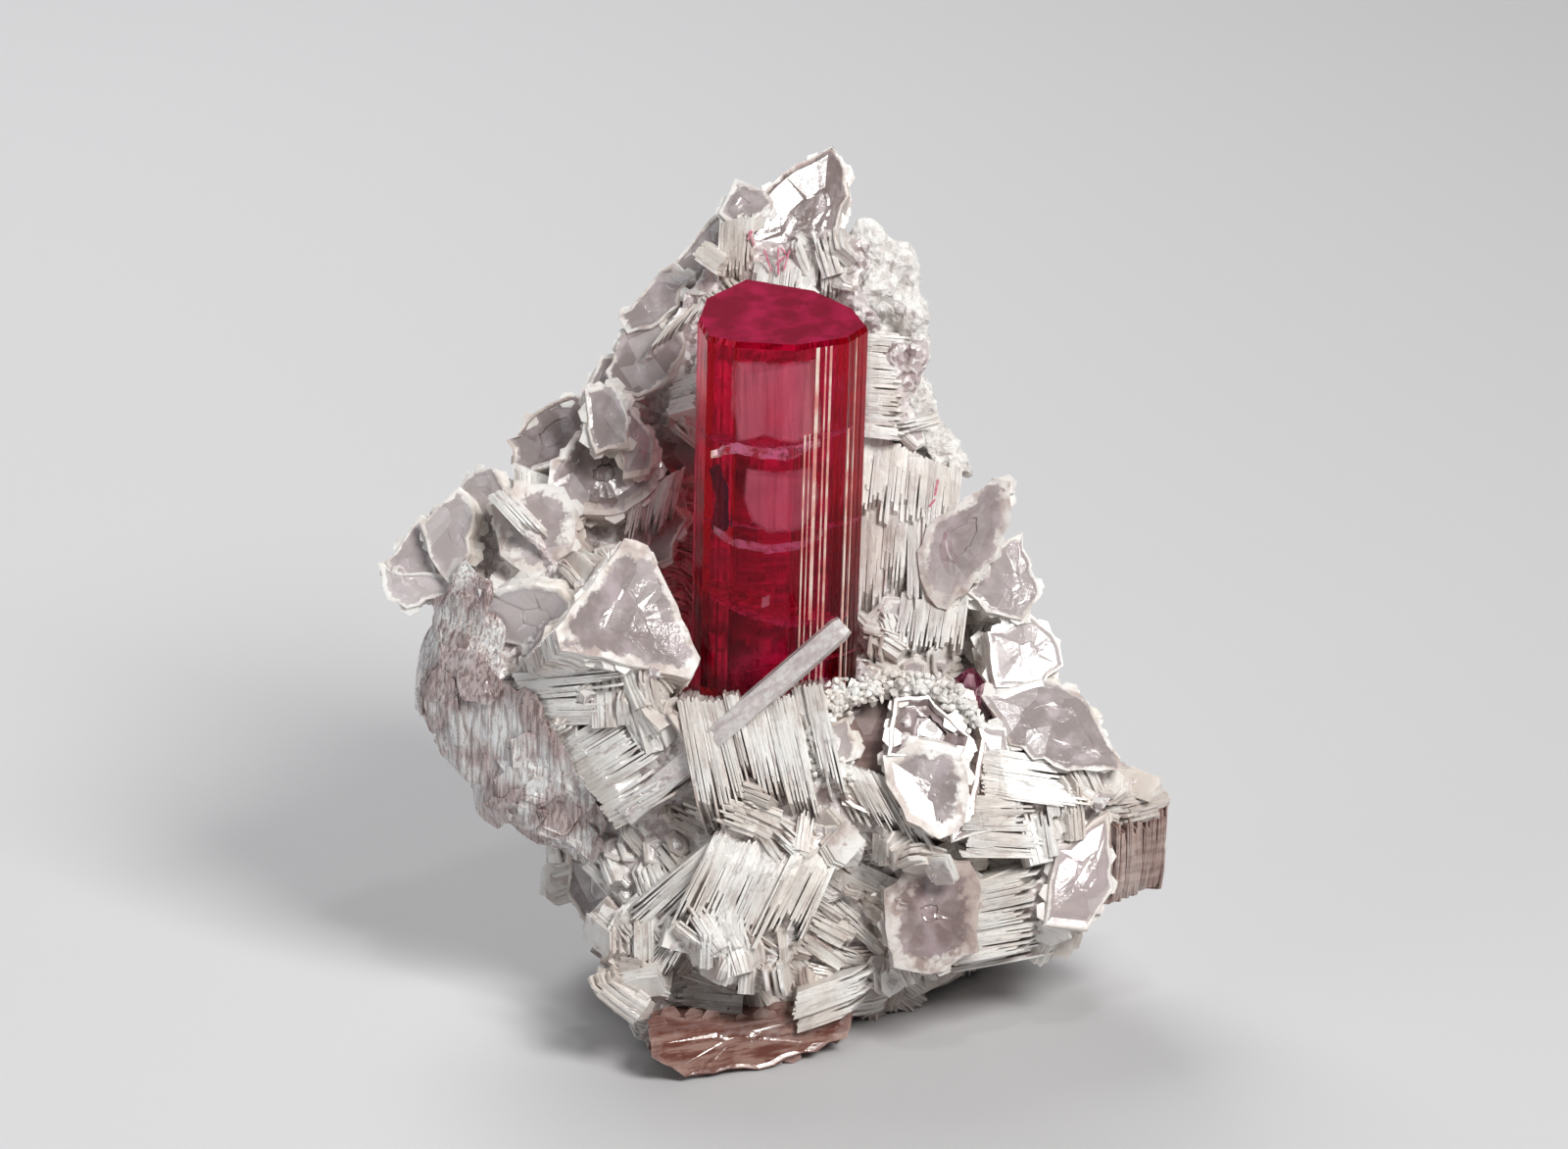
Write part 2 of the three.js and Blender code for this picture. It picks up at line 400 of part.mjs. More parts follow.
// The pale lath that crosses in front of the large crystal, a long thin plate broken square at its upper end.
const crossLath = { top: [4.9, 26.1, 18.2], foot: [-11, 12.2, 14.2], thick: 1.9, deep: 2.8, bevel: 0.6,
  topScale: 0.8, footScale: 1.25 };

function crossingLath() {
  const [top, foot] = [placed(crossLath.top), placed(crossLath.foot)];
  const run = foot.clone().sub(top).normalize();
  const across = new THREE.Vector3().crossVectors(run, near).normalize();
  const half = [crossLath.thick / 2, crossLath.deep / 2];
  const outline = [[-1, -0.5], [-0.4, -1], [0.7, -1], [1, -0.3], [0.8, 0.9], [-0.7, 1]];
  const ring = (centre, scale) => outline.map(([x, y]) =>
    centre.clone().addScaledVector(across, x * half[0] * scale).addScaledVector(near, y * half[1] * scale));
  const shoulder = top.clone().addScaledVector(run, crossLath.bevel);
  const rings = [ring(top, crossLath.topScale), ring(shoulder, 1), ring(foot, crossLath.footScale)];
  return solid(skin(rings, outline.map((p) => new THREE.Vector2(...p))));
}

// Albite: a bright knobbly crust down the upper right edge, with one broad smooth face.
const albiteFace = [[5.2, 54], [6.6, 55], [7.9, 54.2], [9.4, 53.2], [10.8, 49.6], [11.2, 46], [10.9, 44.4],
  [12.3, 40.8], [14.8, 36.6], [12.4, 36.8], [10.2, 39], [8.6, 42], [5.6, 47]];
const albiteKnobs = [
  { at: [6.6, 53.4, 3.6], size: [1.7, 1.9, 1.9] },
  { at: [8.8, 51.6, 3.2], size: [1.9, 2.1, 1.9] },
  { at: [7, 50, 3.9], size: [1.9, 1.8, 1.8] },
  { at: [9.7, 48.4, 3.2], size: [1.6, 1.9, 1.8] },
  { at: [10, 45.4, 3], size: [1.2, 1.6, 1.8] },
];

// The crust, moved by [right, up, near] when it is the cutter of its own socket.
function albiteCrust([right, high, forward]) {
  const slab = book({ face: albiteFace.map(([a, b]) => [a + right, b + high]), near: albite.near + forward,
    slope: [albite.slope, 0], back: [-0.8, -1, -albite.deep], taper: albite.taper, plates: 1 });
  const knobs = albiteKnobs.map(({ at: [a, b, c], size }) => pebble([a + right, b + high, c + forward], size));
  return join([slab, ...knobs]);
}

// Everything of mica, joined, then cut flat below and hollowed for the crystals and the albite.
function micaMatrix(cutters) {
  const books = [crownBooks, upperLeftBooks, farLeftBooks, leftBooks, rightWallBooks, pocketBooks, frontBooks,
    footRightBooks].flat();
  const edges = [crownLaths, upperLeftLaths, farLeftLaths, leftLaths, rightWallLaths, pocketLaths, frontLaths,
    footRightLaths].flat();
  const rock = [footLevels, wallLevels, lobeLevels].map(lump);
  const pebbles = leftPebbles.map(({ at, size, turn }) => pebble(at, size, turn));
  const grown = join([...rock, ...books.map(book), ...edges.map(laths), ...pebbles, backBooks(), crossingLath()]);
  const below = solid(new THREE.BoxGeometry(ground.wide, ground.wide, ground.deep).translate(0, 0, -ground.deep / 2));
  return [below, ...cutters].reduce((left, cutter) => left.subtract(cutter), grown);
}

// The largest closed piece of a solid, so that no crumb is left loose by a cut.
function largest(cut) {
  return cut.decompose().sort((a, b) => b.volume() - a.volume())[0];
}

function mesh(name, shape, material) {
  const made = shape.getMesh();
  const geometry = new THREE.BufferGeometry();
  geometry.setAttribute("position", new THREE.Float32BufferAttribute(made.vertProperties, 3));
  geometry.setIndex(new THREE.Uint32BufferAttribute(made.triVerts, 1));
  geometry.computeVertexNormals();
  const piece = new THREE.Mesh(geometry, material);
  piece.name = name;
  return piece;
}

const rubellite = new THREE.MeshStandardMaterial({ color: 0xa3123a, roughness: 0.12, metalness: 0 });
const mica = new THREE.MeshStandardMaterial({ color: 0xd8d0cd, roughness: 0.45, metalness: 0 });
const whiteAlbite = new THREE.MeshStandardMaterial({ color: 0xf4f2ee, roughness: 0.55, metalness: 0 });

const sixWays = [[1, 0, 0], [-1, 0, 0], [0, 1, 0], [0, -1, 0], [0, 0, 1], [0, 0, -1]];
const grownAlbite = largest(albiteCrust([0, 0, 0]).subtract(elbaite(socketGap)));
const albiteCutter = join(sixWays.map((way) => albiteCrust(way.map((v) => v * socketGap))));
const matrix = largest(micaMatrix([elbaite(socketGap), smallElbaite(socketGap), albiteCutter]));

const specimen = new THREE.Group();
specimen.add(
  mesh("lepidolite_matrix", matrix, mica),
  mesh("albite_crust", grownAlbite, whiteAlbite),
  mesh("elbaite_crystal", elbaite(0), rubellite),
  mesh("elbaite_small_crystal", smallElbaite(0), rubellite),
);

export default specimen;
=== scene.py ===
# Elbaite on matrix: a deep red crystal in a nest of pale mica books
import bpy
import math
import random
import numpy as np
from mathutils import Matrix, Vector, noise
from mathutils.bvhtree import BVHTree


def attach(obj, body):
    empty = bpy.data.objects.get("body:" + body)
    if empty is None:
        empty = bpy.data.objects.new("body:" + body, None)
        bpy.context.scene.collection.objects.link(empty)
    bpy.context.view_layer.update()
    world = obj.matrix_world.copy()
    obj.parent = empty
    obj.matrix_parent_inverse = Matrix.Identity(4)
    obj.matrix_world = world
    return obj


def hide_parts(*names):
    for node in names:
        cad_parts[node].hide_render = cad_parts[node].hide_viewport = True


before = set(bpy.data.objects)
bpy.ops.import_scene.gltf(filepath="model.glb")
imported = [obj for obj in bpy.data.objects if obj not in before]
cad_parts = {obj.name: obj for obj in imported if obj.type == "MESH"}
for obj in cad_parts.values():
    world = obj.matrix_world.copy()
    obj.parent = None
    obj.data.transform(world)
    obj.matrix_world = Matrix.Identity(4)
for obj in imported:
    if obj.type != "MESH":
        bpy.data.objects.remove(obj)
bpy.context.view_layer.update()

noise.seed_set(7)                      # without it noise_vector starts from the clock
mm = 0.001
layoutLean = math.radians(20)          # books are laid out as (right, up, near) on a plane that leans back
rightWay = Vector((1, 0, 0))
upWay = Vector((0, math.sin(layoutLean), math.cos(layoutLean)))
nearWay = Vector((0, -math.cos(layoutLean), math.sin(layoutLean)))


def placed(point):                     # a layout point or way in millimetres, in the part's frame in metres
    right, high, forward = point
    return (rightWay * right + upWay * high + nearWay * forward) * mm


def chance(seed, place):               # a repeatable number from 0 to 1
    wave = math.sin(seed * 127.1 + place * 311.7 + 4.7) * 43758.5453
    return wave - math.floor(wave)


def deselectAll():
    if bpy.context.object and bpy.context.object.mode != "OBJECT":
        bpy.ops.object.mode_set(mode="OBJECT")
    bpy.ops.object.select_all(action="DESELECT")


def flatFace(corners, radius=1):        # one flat face to shape and extrude
    deselectAll()
    bpy.ops.mesh.primitive_circle_add(vertices=corners, radius=radius, fill_type="NGON", location=(0, 0, 0))
    return bpy.context.object


def flatGrid(across, up):
    deselectAll()
    bpy.ops.mesh.primitive_grid_add(x_subdivisions=across, y_subdivisions=up, size=1, location=(0, 0, 0))
    return bpy.context.object


def editAll():
    bpy.ops.object.mode_set(mode="EDIT")
    bpy.ops.mesh.select_all(action="SELECT")


def finishEdit():                       # all faces turned outwards
    bpy.ops.mesh.select_all(action="SELECT")
    bpy.ops.mesh.normals_make_consistent(inside=False)
    bpy.ops.object.mode_set(mode="OBJECT")


def extrude(way):
    bpy.ops.mesh.extrude_region_move(TRANSFORM_OT_translate={"value": way})


def resize(size, centre=(0, 0, 0)):
    bpy.ops.transform.resize(value=size, center_override=centre)


def roughen(offset, seed):
    bpy.ops.transform.vertex_random(offset=offset, seed=seed, wait_for_input=False)


def cutOff(point, way):                 # all that lies beyond the point goes
    bpy.ops.mesh.select_all(action="SELECT")
    bpy.ops.mesh.bisect(plane_co=point, plane_no=way, clear_outer=True)


# Camera, floor and lights
view = {"aim": (0.7, 29.6, 4.0), "distance": 620, "frameWidth": 112, "sensor": 36, "clip": (0.05, 20)}


def makeCamera():
    bpy.ops.object.camera_add(location=placed(view["aim"]) + nearWay * view["distance"] * mm)
    camera = bpy.context.object
    camera.rotation_euler = (math.radians(90) - layoutLean, 0, 0)
    camera.data.sensor_width = view["sensor"]
    camera.data.lens = view["sensor"] * view["distance"] / view["frameWidth"]
    camera.data.clip_start, camera.data.clip_end = view["clip"]
    bpy.context.scene.camera = camera


lamps = [
    {"name": "keyLamp", "from": (250, -300, 400), "size": 200, "watts": 2.9, "colour": (1, 0.985, 0.96)},
    {"name": "fillLamp", "from": (-380, -200, 180), "size": 260, "watts": 0.3, "colour": (0.95, 0.97, 1)},
    {"name": "backLamp", "from": (-120, 300, 330), "size": 260, "watts": 1.3, "colour": (1, 1, 1)},
    {"name": "glintLamp", "from": (60, -160, 520), "size": 40, "watts": 0.22, "colour": (1, 1, 1)},
]
lampAim = (0, 0, 28)
studio = {"colour": (0.80, 0.82, 0.86, 1), "strength": 0.11}


def makeLamps():
    aim = Vector(lampAim) * mm
    for lamp in lamps:
        start = Vector(lamp["from"]) * mm
        bpy.ops.object.light_add(type="AREA", location=start)
        light = bpy.context.object
        light.name = lamp["name"]
        light.rotation_euler = (aim - start).to_track_quat("-Z", "Y").to_euler()
        light.data.size = lamp["size"] * mm
        light.data.energy = lamp["watts"]
        light.data.color = lamp["colour"]
    world = bpy.data.worlds.new("studio")
    world.use_nodes = True
    world.node_tree.nodes["Background"].inputs["Color"].default_value = studio["colour"]
    world.node_tree.nodes["Background"].inputs["Strength"].default_value = studio["strength"]
    bpy.context.scene.world = world
    bpy.context.scene.view_settings.view_transform = "Standard"


floorLook = {"size": 6, "colour": (0.55, 0.55, 0.56, 1), "roughness": 0.6}


def makeFloor():
    deselectAll()
    bpy.ops.mesh.primitive_plane_add(size=floorLook["size"], location=(0, 0, 0))
    floor = bpy.context.object
    floor.name = "floor"
    paint = bpy.data.materials.new("floorPaint")
    paint.use_nodes = True
    shader = paint.node_tree.nodes["Principled BSDF"]
    shader.inputs["Base Color"].default_value = floorLook["colour"]
    shader.inputs["Roughness"].default_value = floorLook["roughness"]
    floor.data.materials.append(paint)


makeCamera()
makeLamps()
makeFloor()
print("camera, lamps and floor")


# Materials
class Surface:                          # a material with short ways to add and join nodes
    def __init__(self, name):
        self.material = bpy.data.materials.new(name)
        self.material.use_nodes = True
        self.nodes = self.material.node_tree.nodes
        self.links = self.material.node_tree.links
        self.shader = self.nodes["Principled BSDF"]

    def add(self, kind, inputs=(), **settings):
        node = self.nodes.new(kind)
        for key, value in settings.items():
            setattr(node, key, value)
        for key, value in dict(inputs).items():
            if isinstance(value, bpy.types.NodeSocket):
                self.links.new(value, node.inputs[key])
            else:
                node.inputs[key].default_value = value
        return node.outputs[0]

    def place(self):
        return self.add("ShaderNodeTexCoord").node.outputs["Object"]

    def attribute(self, name):
        return self.add("ShaderNodeAttribute", attribute_name=name).node.outputs["Fac"]

    def mapped(self, vector, turn, scale):
        return self.add("ShaderNodeMapping", {"Vector": vector, "Rotation": turn, "Scale": scale})

    def noise(self, vector, size, detail=3, rough=0.55, distortion=0.0):
        inputs = {"Vector": vector, "Scale": 1 / (size * mm), "Detail": detail, "Roughness": rough,
                  "Distortion": distortion}
        return self.add("ShaderNodeTexNoise", inputs)

    def streaks(self, vector, through, long, thick):     # noise drawn out along thin plates
        slow = self.add("ShaderNodeVectorMath", {0: vector, "Scale": 1 / (long * mm)}, operation="SCALE")
        inputs = {"Vector": slow, "W": self.times(through, 1 / thick), "Scale": 1.0, "Detail": 3.0,
                  "Roughness": 0.6}
        return self.add("ShaderNodeTexNoise", inputs, noise_dimensions="4D")

    def math(self, kind, first, second=0.0, third=0.0):
        return self.add("ShaderNodeMath", {0: first, 1: second, 2: third}, operation=kind)

    def times(self, first, second):
        return self.math("MULTIPLY", first, second)

    def span(self, value, low, high, toLow=0.0, toHigh=1.0):
        inputs = {"Value": value, "From Min": low, "From Max": high, "To Min": toLow, "To Max": toHigh}
        return self.add("ShaderNodeMapRange", inputs, interpolation_type="SMOOTHSTEP")

    def mix(self, share, first, second):
        node = self.nodes.new("ShaderNodeMix")
        node.data_type = "RGBA"
        for key, value in ((0, share), (6, first), (7, second)):
            if isinstance(value, bpy.types.NodeSocket):
                self.links.new(value, node.inputs[key])
            else:
                node.inputs[key].default_value = value
        return node.outputs[2]

    def bump(self, height, strength, distance, under=None):
        inputs = {"Height": height, "Strength": strength, "Distance": distance * mm}
        if under is not None:
            inputs["Normal"] = under
        return self.add("ShaderNodeBump", inputs)

    def facets(self, vector, perMetre):      # flat patches: each one's own number, and a height that tilts it
        inputs = {"Vector": vector, "Scale": perMetre, "Randomness": 1.0}
        cells = self.add("ShaderNodeTexVoronoi", inputs).node
        shades = cells.outputs["Color"]
        way = self.add("ShaderNodeVectorMath", {0: shades, 1: (0.5, 0.5, 0.5)}, operation="SUBTRACT")
        along = self.add("ShaderNodeVectorMath", {0: self.place(), 1: way}, operation="DOT_PRODUCT").node
        own = self.add("ShaderNodeSeparateColor", {0: shades}).node.outputs[0]
        return own, self.times(along.outputs["Value"], 1 / mm)

    def set(self, **values):
        for key, value in values.items():
            socket = self.shader.inputs[key.replace("_", " ")]
            if isinstance(value, bpy.types.NodeSocket):
                self.links.new(value, socket)
            else:
                socket.default_value = value


micaTones = {
    "edgeWhite": (0.93, 0.91, 0.88, 1), "edgeCream": (0.86, 0.80, 0.73, 1),
    "edgeShade": (0.46, 0.37, 0.34, 1), "facePale": (0.62, 0.565, 0.565, 1),
    "faceSmoky": (0.22, 0.175, 0.168, 1), "cleaved": (0.80, 0.76, 0.76, 1), "lilac": (0.66, 0.56, 0.61, 1),
    "stain": (0.15, 0.05, 0.035, 1), "stainPale": (0.32, 0.19, 0.155, 1),
}
micaDepth = {"Subsurface_Scale": 0.0006, "Subsurface_Radius": (1.0, 0.82, 0.78), "IOR": 1.56}
facetsPerMetre = 520.0


# Mica: white frayed edges and smoky pearly faces. Each point carries rim (1 on edges), lamina (mm through the
# stack), tone (how smoky the face is) and stain.
def makeMica():
    mica = Surface("lepidoliteMica")
    spot = mica.place()
    tone = mica.attribute("tone")
    waver = mica.noise(spot, 1.8, 2)
    through = mica.math("MULTIPLY_ADD", waver, 0.35, mica.attribute("lamina"))
    lines = mica.streaks(spot, through, 2.6, 0.12)
    broad = mica.streaks(spot, through, 4.5, 0.55)
    cloud = mica.noise(spot, 4.5, 3)
    fine = mica.noise(spot, 0.30, 4, 0.6)
    edge = mica.mix(mica.span(cloud, 0.42, 0.66), micaTones["edgeWhite"], micaTones["edgeCream"])
    smoked = mica.math("MULTIPLY_ADD", tone, 0.9, 0.35)
    # the first share darkens the lamina lines where the bump sinks them: painted shade between the laminae,
    # over their own streaky tone
    for share in (mica.times(mica.span(lines, 0.50, 0.34), smoked),
                  mica.times(mica.span(broad, 0.46, 0.34, 0, 0.8), smoked),
                  mica.times(tone, mica.span(cloud, 0.40, 0.62, 0.1, 0.7))):
        edge = mica.mix(share, edge, micaTones["edgeShade"])
    smoke = mica.times(tone, mica.span(mica.noise(spot, 2.6, 5, 0.65), 0.15, 0.52))
    face = mica.mix(smoke, micaTones["facePale"], micaTones["faceSmoky"])
    face = mica.mix(mica.span(mica.noise(spot, 1.7, 2), 0.45, 0.75, 0, 0.5), face, micaTones["lilac"])
    stretched = mica.mapped(spot, (0.4, 0.5, 0.8), (1, 0.5, 1))
    own, tilt = mica.facets(stretched, facetsPerMetre)
    face = mica.mix(mica.span(own, 0.55, 0.95, 0, 0.35), face, micaTones["cleaved"])
    uneven = mica.math("MULTIPLY_ADD", mica.noise(spot, 1.3, 3, 0.6), 1.7, -0.85)
    frost = mica.math("ADD", mica.math("MULTIPLY_ADD", fine, 0.5, mica.attribute("rim")), uneven)
    colour = mica.mix(mica.span(frost, 0.72, 1.02), face, edge)
    level = mica.mapped(spot, (0, -0.25, 0), (0.22, 0.22, 1.6))
    streaks = mica.math("ADD", mica.noise(level, 0.8, 4, 0.6), mica.times(lines, 0.5))
    stainTone = mica.mix(mica.span(streaks, 0.88, 0.66), micaTones["stainPale"], micaTones["stain"])
    stained = mica.times(mica.attribute("stain"), mica.span(mica.noise(spot, 1.6, 3), 0.15, 0.45, 0.5))
    colour = mica.mix(stained, colour, stainTone)
    sheen = mica.span(frost, 0.6, 1.1, 0.13, 0.45)
    normal = mica.bump(lines, 0.75, 0.10)
    normal = mica.bump(fine, 0.35, 0.06, normal)
    normal = mica.bump(tilt, 1.0, 0.16, normal)
    mica.set(Base_Color=colour, Roughness=sheen, Normal=normal, Subsurface_Weight=0.25, Coat_Weight=0.5,
             Coat_Roughness=0.10, Specular_IOR_Level=0.7, **micaDepth)
    return mica.material


crushed = {"pale": (0.84, 0.80, 0.79, 1), "shade": (0.58, 0.50, 0.50, 1), "patch": 0.4, "bent": 0.0008}


# The rock between the books: the same mica, crushed, in patches whose plates lie each its own way
def makeCrushed():
    rock = Surface("crushedMica")
    spot = rock.place()
    inputs = {0: rock.noise(spot, 1.2, 3), 1: [crushed["bent"]] * 3, 2: spot}
    bent = rock.add("ShaderNodeVectorMath", inputs, operation="MULTIPLY_ADD")
    own, tilt = rock.facets(bent, 1 / (crushed["patch"] * mm))
    fine = rock.noise(spot, 0.25, 4, 0.65)
    lumps = rock.noise(spot, 1.6, 4, 0.6)
    colour = rock.mix(rock.span(own, 0.25, 0.8), crushed["pale"], crushed["shade"])
    # darker where the lumps are low: painted shade in the hollows
    colour = rock.mix(rock.span(lumps, 0.50, 0.30, 0, 0.8), colour, crushed["shade"])
    normal = rock.bump(lumps, 0.7, 0.4)
    normal = rock.bump(tilt, 1.0, 0.9, normal)
    normal = rock.bump(fine, 0.5, 0.08, normal)
    rock.set(Base_Color=colour, Roughness=rock.span(own, 0.2, 0.8, 0.18, 0.6), Normal=normal,
             Subsurface_Weight=0.2, **micaDepth)
    return rock.material


silveryTones = {"pale": (0.80, 0.77, 0.76, 1), "paleBrown": (0.48, 0.37, 0.36, 1),
                "dark": (0.40, 0.34, 0.33, 1), "darkBrown": (0.20, 0.13, 0.12, 1)}


# Silvery crinkled mica of the left lobe: pale on its raised streaks and dark in the sunk ones, painted sheen
# and shade over its own streaky tone
def makeSilvery():
    silvery = Surface("silveryMica")
    spot = silvery.place()
    stretched = silvery.mapped(spot, (0.15, 0.45, -0.3), (1.0, 1.0, 0.10))
    streaks = silvery.noise(stretched, 0.22, 4, 0.6, 0.3)
    crinkle = silvery.noise(stretched, 0.7, 3, 0.6)
    fine = silvery.noise(spot, 0.16, 3, 0.6)
    dull = silvery.span(silvery.noise(spot, 4.0, 3), 0.42, 0.60)
    pale = silvery.mix(dull, silveryTones["pale"], silveryTones["paleBrown"])
    dark = silvery.mix(dull, silveryTones["dark"], silveryTones["darkBrown"])
    # pale where the streaks rise and dark where they sink: painted sheen and shade
    colour = silvery.mix(silvery.span(streaks, 0.40, 0.56), dark, pale)
    normal = silvery.bump(crinkle, 0.8, 0.25)
    normal = silvery.bump(streaks, 0.8, 0.10, normal)
    normal = silvery.bump(fine, 0.4, 0.04, normal)
    silvery.set(Base_Color=colour, Roughness=silvery.span(fine, 0.4, 0.6, 0.12, 0.38), Normal=normal, IOR=1.6,
                Specular_IOR_Level=0.9, Coat_Weight=0.8, Coat_Roughness=0.07, Subsurface_Weight=0.1,
                Subsurface_Scale=0.0006)
    return silvery.material


albiteTones = {"shade": (0.60, 0.56, 0.54, 1), "white": (0.86, 0.85, 0.83, 1), "grainsPerMetre": 2600.0}


def makeAlbite():
    albite = Surface("whiteAlbite")
    spot = albite.place()
    inputs = {"Vector": spot, "Scale": albiteTones["grainsPerMetre"], "Randomness": 1.0}
    grain = albite.add("ShaderNodeTexVoronoi", inputs)
    lumps = albite.noise(spot, 1.0, 4, 0.6)
    # darker where the lumps are low: painted shade in the hollows
    colour = albite.mix(albite.span(lumps, 0.30, 0.6), albiteTones["shade"], albiteTones["white"])
    normal = albite.bump(lumps, 1.0, 0.5)
    normal = albite.bump(grain, 0.6, 0.12, normal)
    albite.set(Base_Color=colour, Roughness=albite.span(grain, 0.1, 0.5, 0.25, 0.6), Normal=normal, IOR=1.53,
               Subsurface_Weight=0.35, Subsurface_Scale=0.0009, Subsurface_Radius=(1.0, 0.9, 0.85))
    return albite.material


rubellite = {
    "tint": (0.935, 0.02, 0.50, 1), "density": 550.0, "smallDensity": 260.0, "ior": 1.63,
    "surface": (1, 0.92, 0.95, 1), "glint": (0.6, 0.18, 0.24, 1),
    "endTones": [(0.19, 0.003, 0.021, 1), (0.34, 0.008, 0.052, 1)],
    # pale gold tones of the streak columns: painted highlight glints along the furrows
    "highlightStreakTones": [(0.80, 0.30, 0.26, 1), (1.0, 0.86, 0.74, 1)],
}


# Clear red crystal, coloured by the depth of stone that the light crosses. The end is matt, and so are the
# pale streaks in a few furrow columns: painted highlight glints.
def makeRubellite(name, rough, density, matt=0.0, tones=None):
    gem = Surface(name)
    spot = gem.place()
    lines = gem.noise(gem.mapped(spot, (0, 0, 0), (1.0, 1.0, 0.015)), 0.22, 3, 0.6)
    pits = gem.noise(spot, 2.2, 5, 0.55)
    normal = gem.bump(lines, 0.35, 0.05)
    normal = gem.bump(pits, 0.04 + 0.12 * matt, 0.05, normal)
    # the matt tones: the end's own dark red, and on the streak columns pale paint for highlights
    colour = gem.mix(gem.span(pits, 0.38, 0.66), *tones) if matt else rubellite["surface"]
    gem.set(Base_Color=colour, Roughness=rough, Transmission_Weight=1 - matt, IOR=rubellite["ior"],
            Normal=normal, Specular_Tint=rubellite["glint"], Specular_IOR_Level=0.0 if matt else 0.5)
    depth = gem.nodes.new("ShaderNodeVolumeAbsorption")
    depth.inputs["Color"].default_value = rubellite["tint"]
    depth.inputs["Density"].default_value = density
    gem.links.new(depth.outputs[0], gem.nodes["Material Output"].inputs["Volume"])
    return gem.material


veilLightAndShade = {"sheet": (1.0, 0.72, 0.60, 1), "bright": (1.0, 0.62, 0.74, 1), "dark": (0.03, 0.001, 0.004, 1)}


# Cracks in the crystal and the patches in front of it: pale sheets whose colour paints the light they show,
# painted reflection on the real cracks and painted light on the patches, turned near black as painted shade
# where the stain attribute is set. Tone is 1 on the broad even sheets and 0 on the broken ones
def makeVeil():
    veil = Surface("crackVeilPaintedLight")
    spot = veil.place()
    broken = veil.noise(spot, 0.8, 5, 0.65)
    patchy = veil.span(broken, 0.38, 0.60, 0.06, 1.0)
    upright = veil.mapped(spot, (0, 0, 0), (1.0, 1.0, 0.06))
    even = veil.span(veil.noise(upright, 0.7, 3, 0.6), 0.32, 0.6, 0.55, 1.0)
    smooth = veil.attribute("tone")
    share = veil.math("ADD", patchy, veil.times(smooth, veil.math("SUBTRACT", even, patchy)))
    cover = veil.times(veil.attribute("rim"), share)
    warm = veil.times(veil.span(broken, 0.4, 0.62), veil.math("SUBTRACT", 1.0, smooth))
    colour = veil.mix(warm, veilLightAndShade["sheet"], veilLightAndShade["bright"])
    # where the stain attribute is set the sheet turns near black: painted shade for a dark patch, not a stain
    colour = veil.mix(veil.attribute("stain"), colour, veilLightAndShade["dark"])
    veil.set(Base_Color=colour, Roughness=0.3, Alpha=cover, Normal=veil.bump(broken, 0.6, 0.15))
    return veil.material


lathTones = {"shade": (0.74, 0.66, 0.65, 1), "white": (0.94, 0.90, 0.89, 1), "furrow": (0.52, 0.43, 0.43, 1)}


# The crossing lath: pale pink, furrowed along its length and a little see-through
def makePaleLath():
    pale = Surface("paleLath")
    spot = pale.place()
    lines = pale.streaks(spot, pale.attribute("lamina"), 3.0, 0.35)
    sugar = pale.noise(spot, 0.35, 4, 0.65)
    colour = pale.mix(pale.span(sugar, 0.36, 0.62), lathTones["shade"], lathTones["white"])
    colour = pale.mix(pale.span(lines, 0.52, 0.36, 0, 0.5), colour, lathTones["furrow"])
    normal = pale.bump(lines, 0.4, 0.10)
    normal = pale.bump(sugar, 0.6, 0.10, normal)
    pale.set(Base_Color=colour, Roughness=0.28, Normal=normal, Transmission_Weight=0.25, IOR=1.56,
             Subsurface_Weight=0.5, Subsurface_Scale=0.001, Subsurface_Radius=(1.0, 0.8, 0.8),
             Coat_Weight=0.4, Coat_Roughness=0.12)
    return pale.material


needleTones = [(0.82, 0.22, 0.34, 1), (0.92, 0.50, 0.58, 1)]


def makeNeedle():
    pink = Surface("pinkNeedle")
    shade = pink.noise(pink.place(), 0.6, 2)
    pink.set(Base_Color=pink.mix(pink.span(shade, 0.35, 0.65), *needleTones), Roughness=0.18,
             IOR=rubellite["ior"], Transmission_Weight=0.3, Normal=pink.bump(shade, 0.3, 0.05))
    return pink.material


lathMaterial = makePaleLath()
needleMaterial = makeNeedle()
micaMaterial = makeMica()
crushedMaterial = makeCrushed()
silveryMaterial = makeSilvery()
albiteMaterial = makeAlbite()
gemMaterial = makeRubellite("rubelliteSides", 0.02, rubellite["density"])
gemEndMaterial = makeRubellite("rubelliteEnd", 0.5, rubellite["density"], 0.85, rubellite["endTones"])
gemHighlightStreakMaterial = makeRubellite("rubelliteHighlightStreaks", 0.35, rubellite["density"], 0.75,
                                  rubellite["highlightStreakTones"])
smallGemMaterial = makeRubellite("smallRubellite", 0.08, rubellite["smallDensity"])
veilMaterial = makeVeil()
print("materials")


def writeAttribute(mesh, name, values):
    layer = mesh.attributes.get(name) or mesh.attributes.new(name, "FLOAT", "POINT")
    layer.data.foreach_set("value", np.asarray(values, np.float32))


def markMica(mesh, rim=1.0, lamina=0.0, tone=0.3, stain=0.0):
    count = len(mesh.vertices)
    for name, value in (("rim", rim), ("lamina", lamina), ("tone", tone), ("stain", stain)):
        writeAttribute(mesh, name, np.full(count, value) if np.isscalar(value) else value)


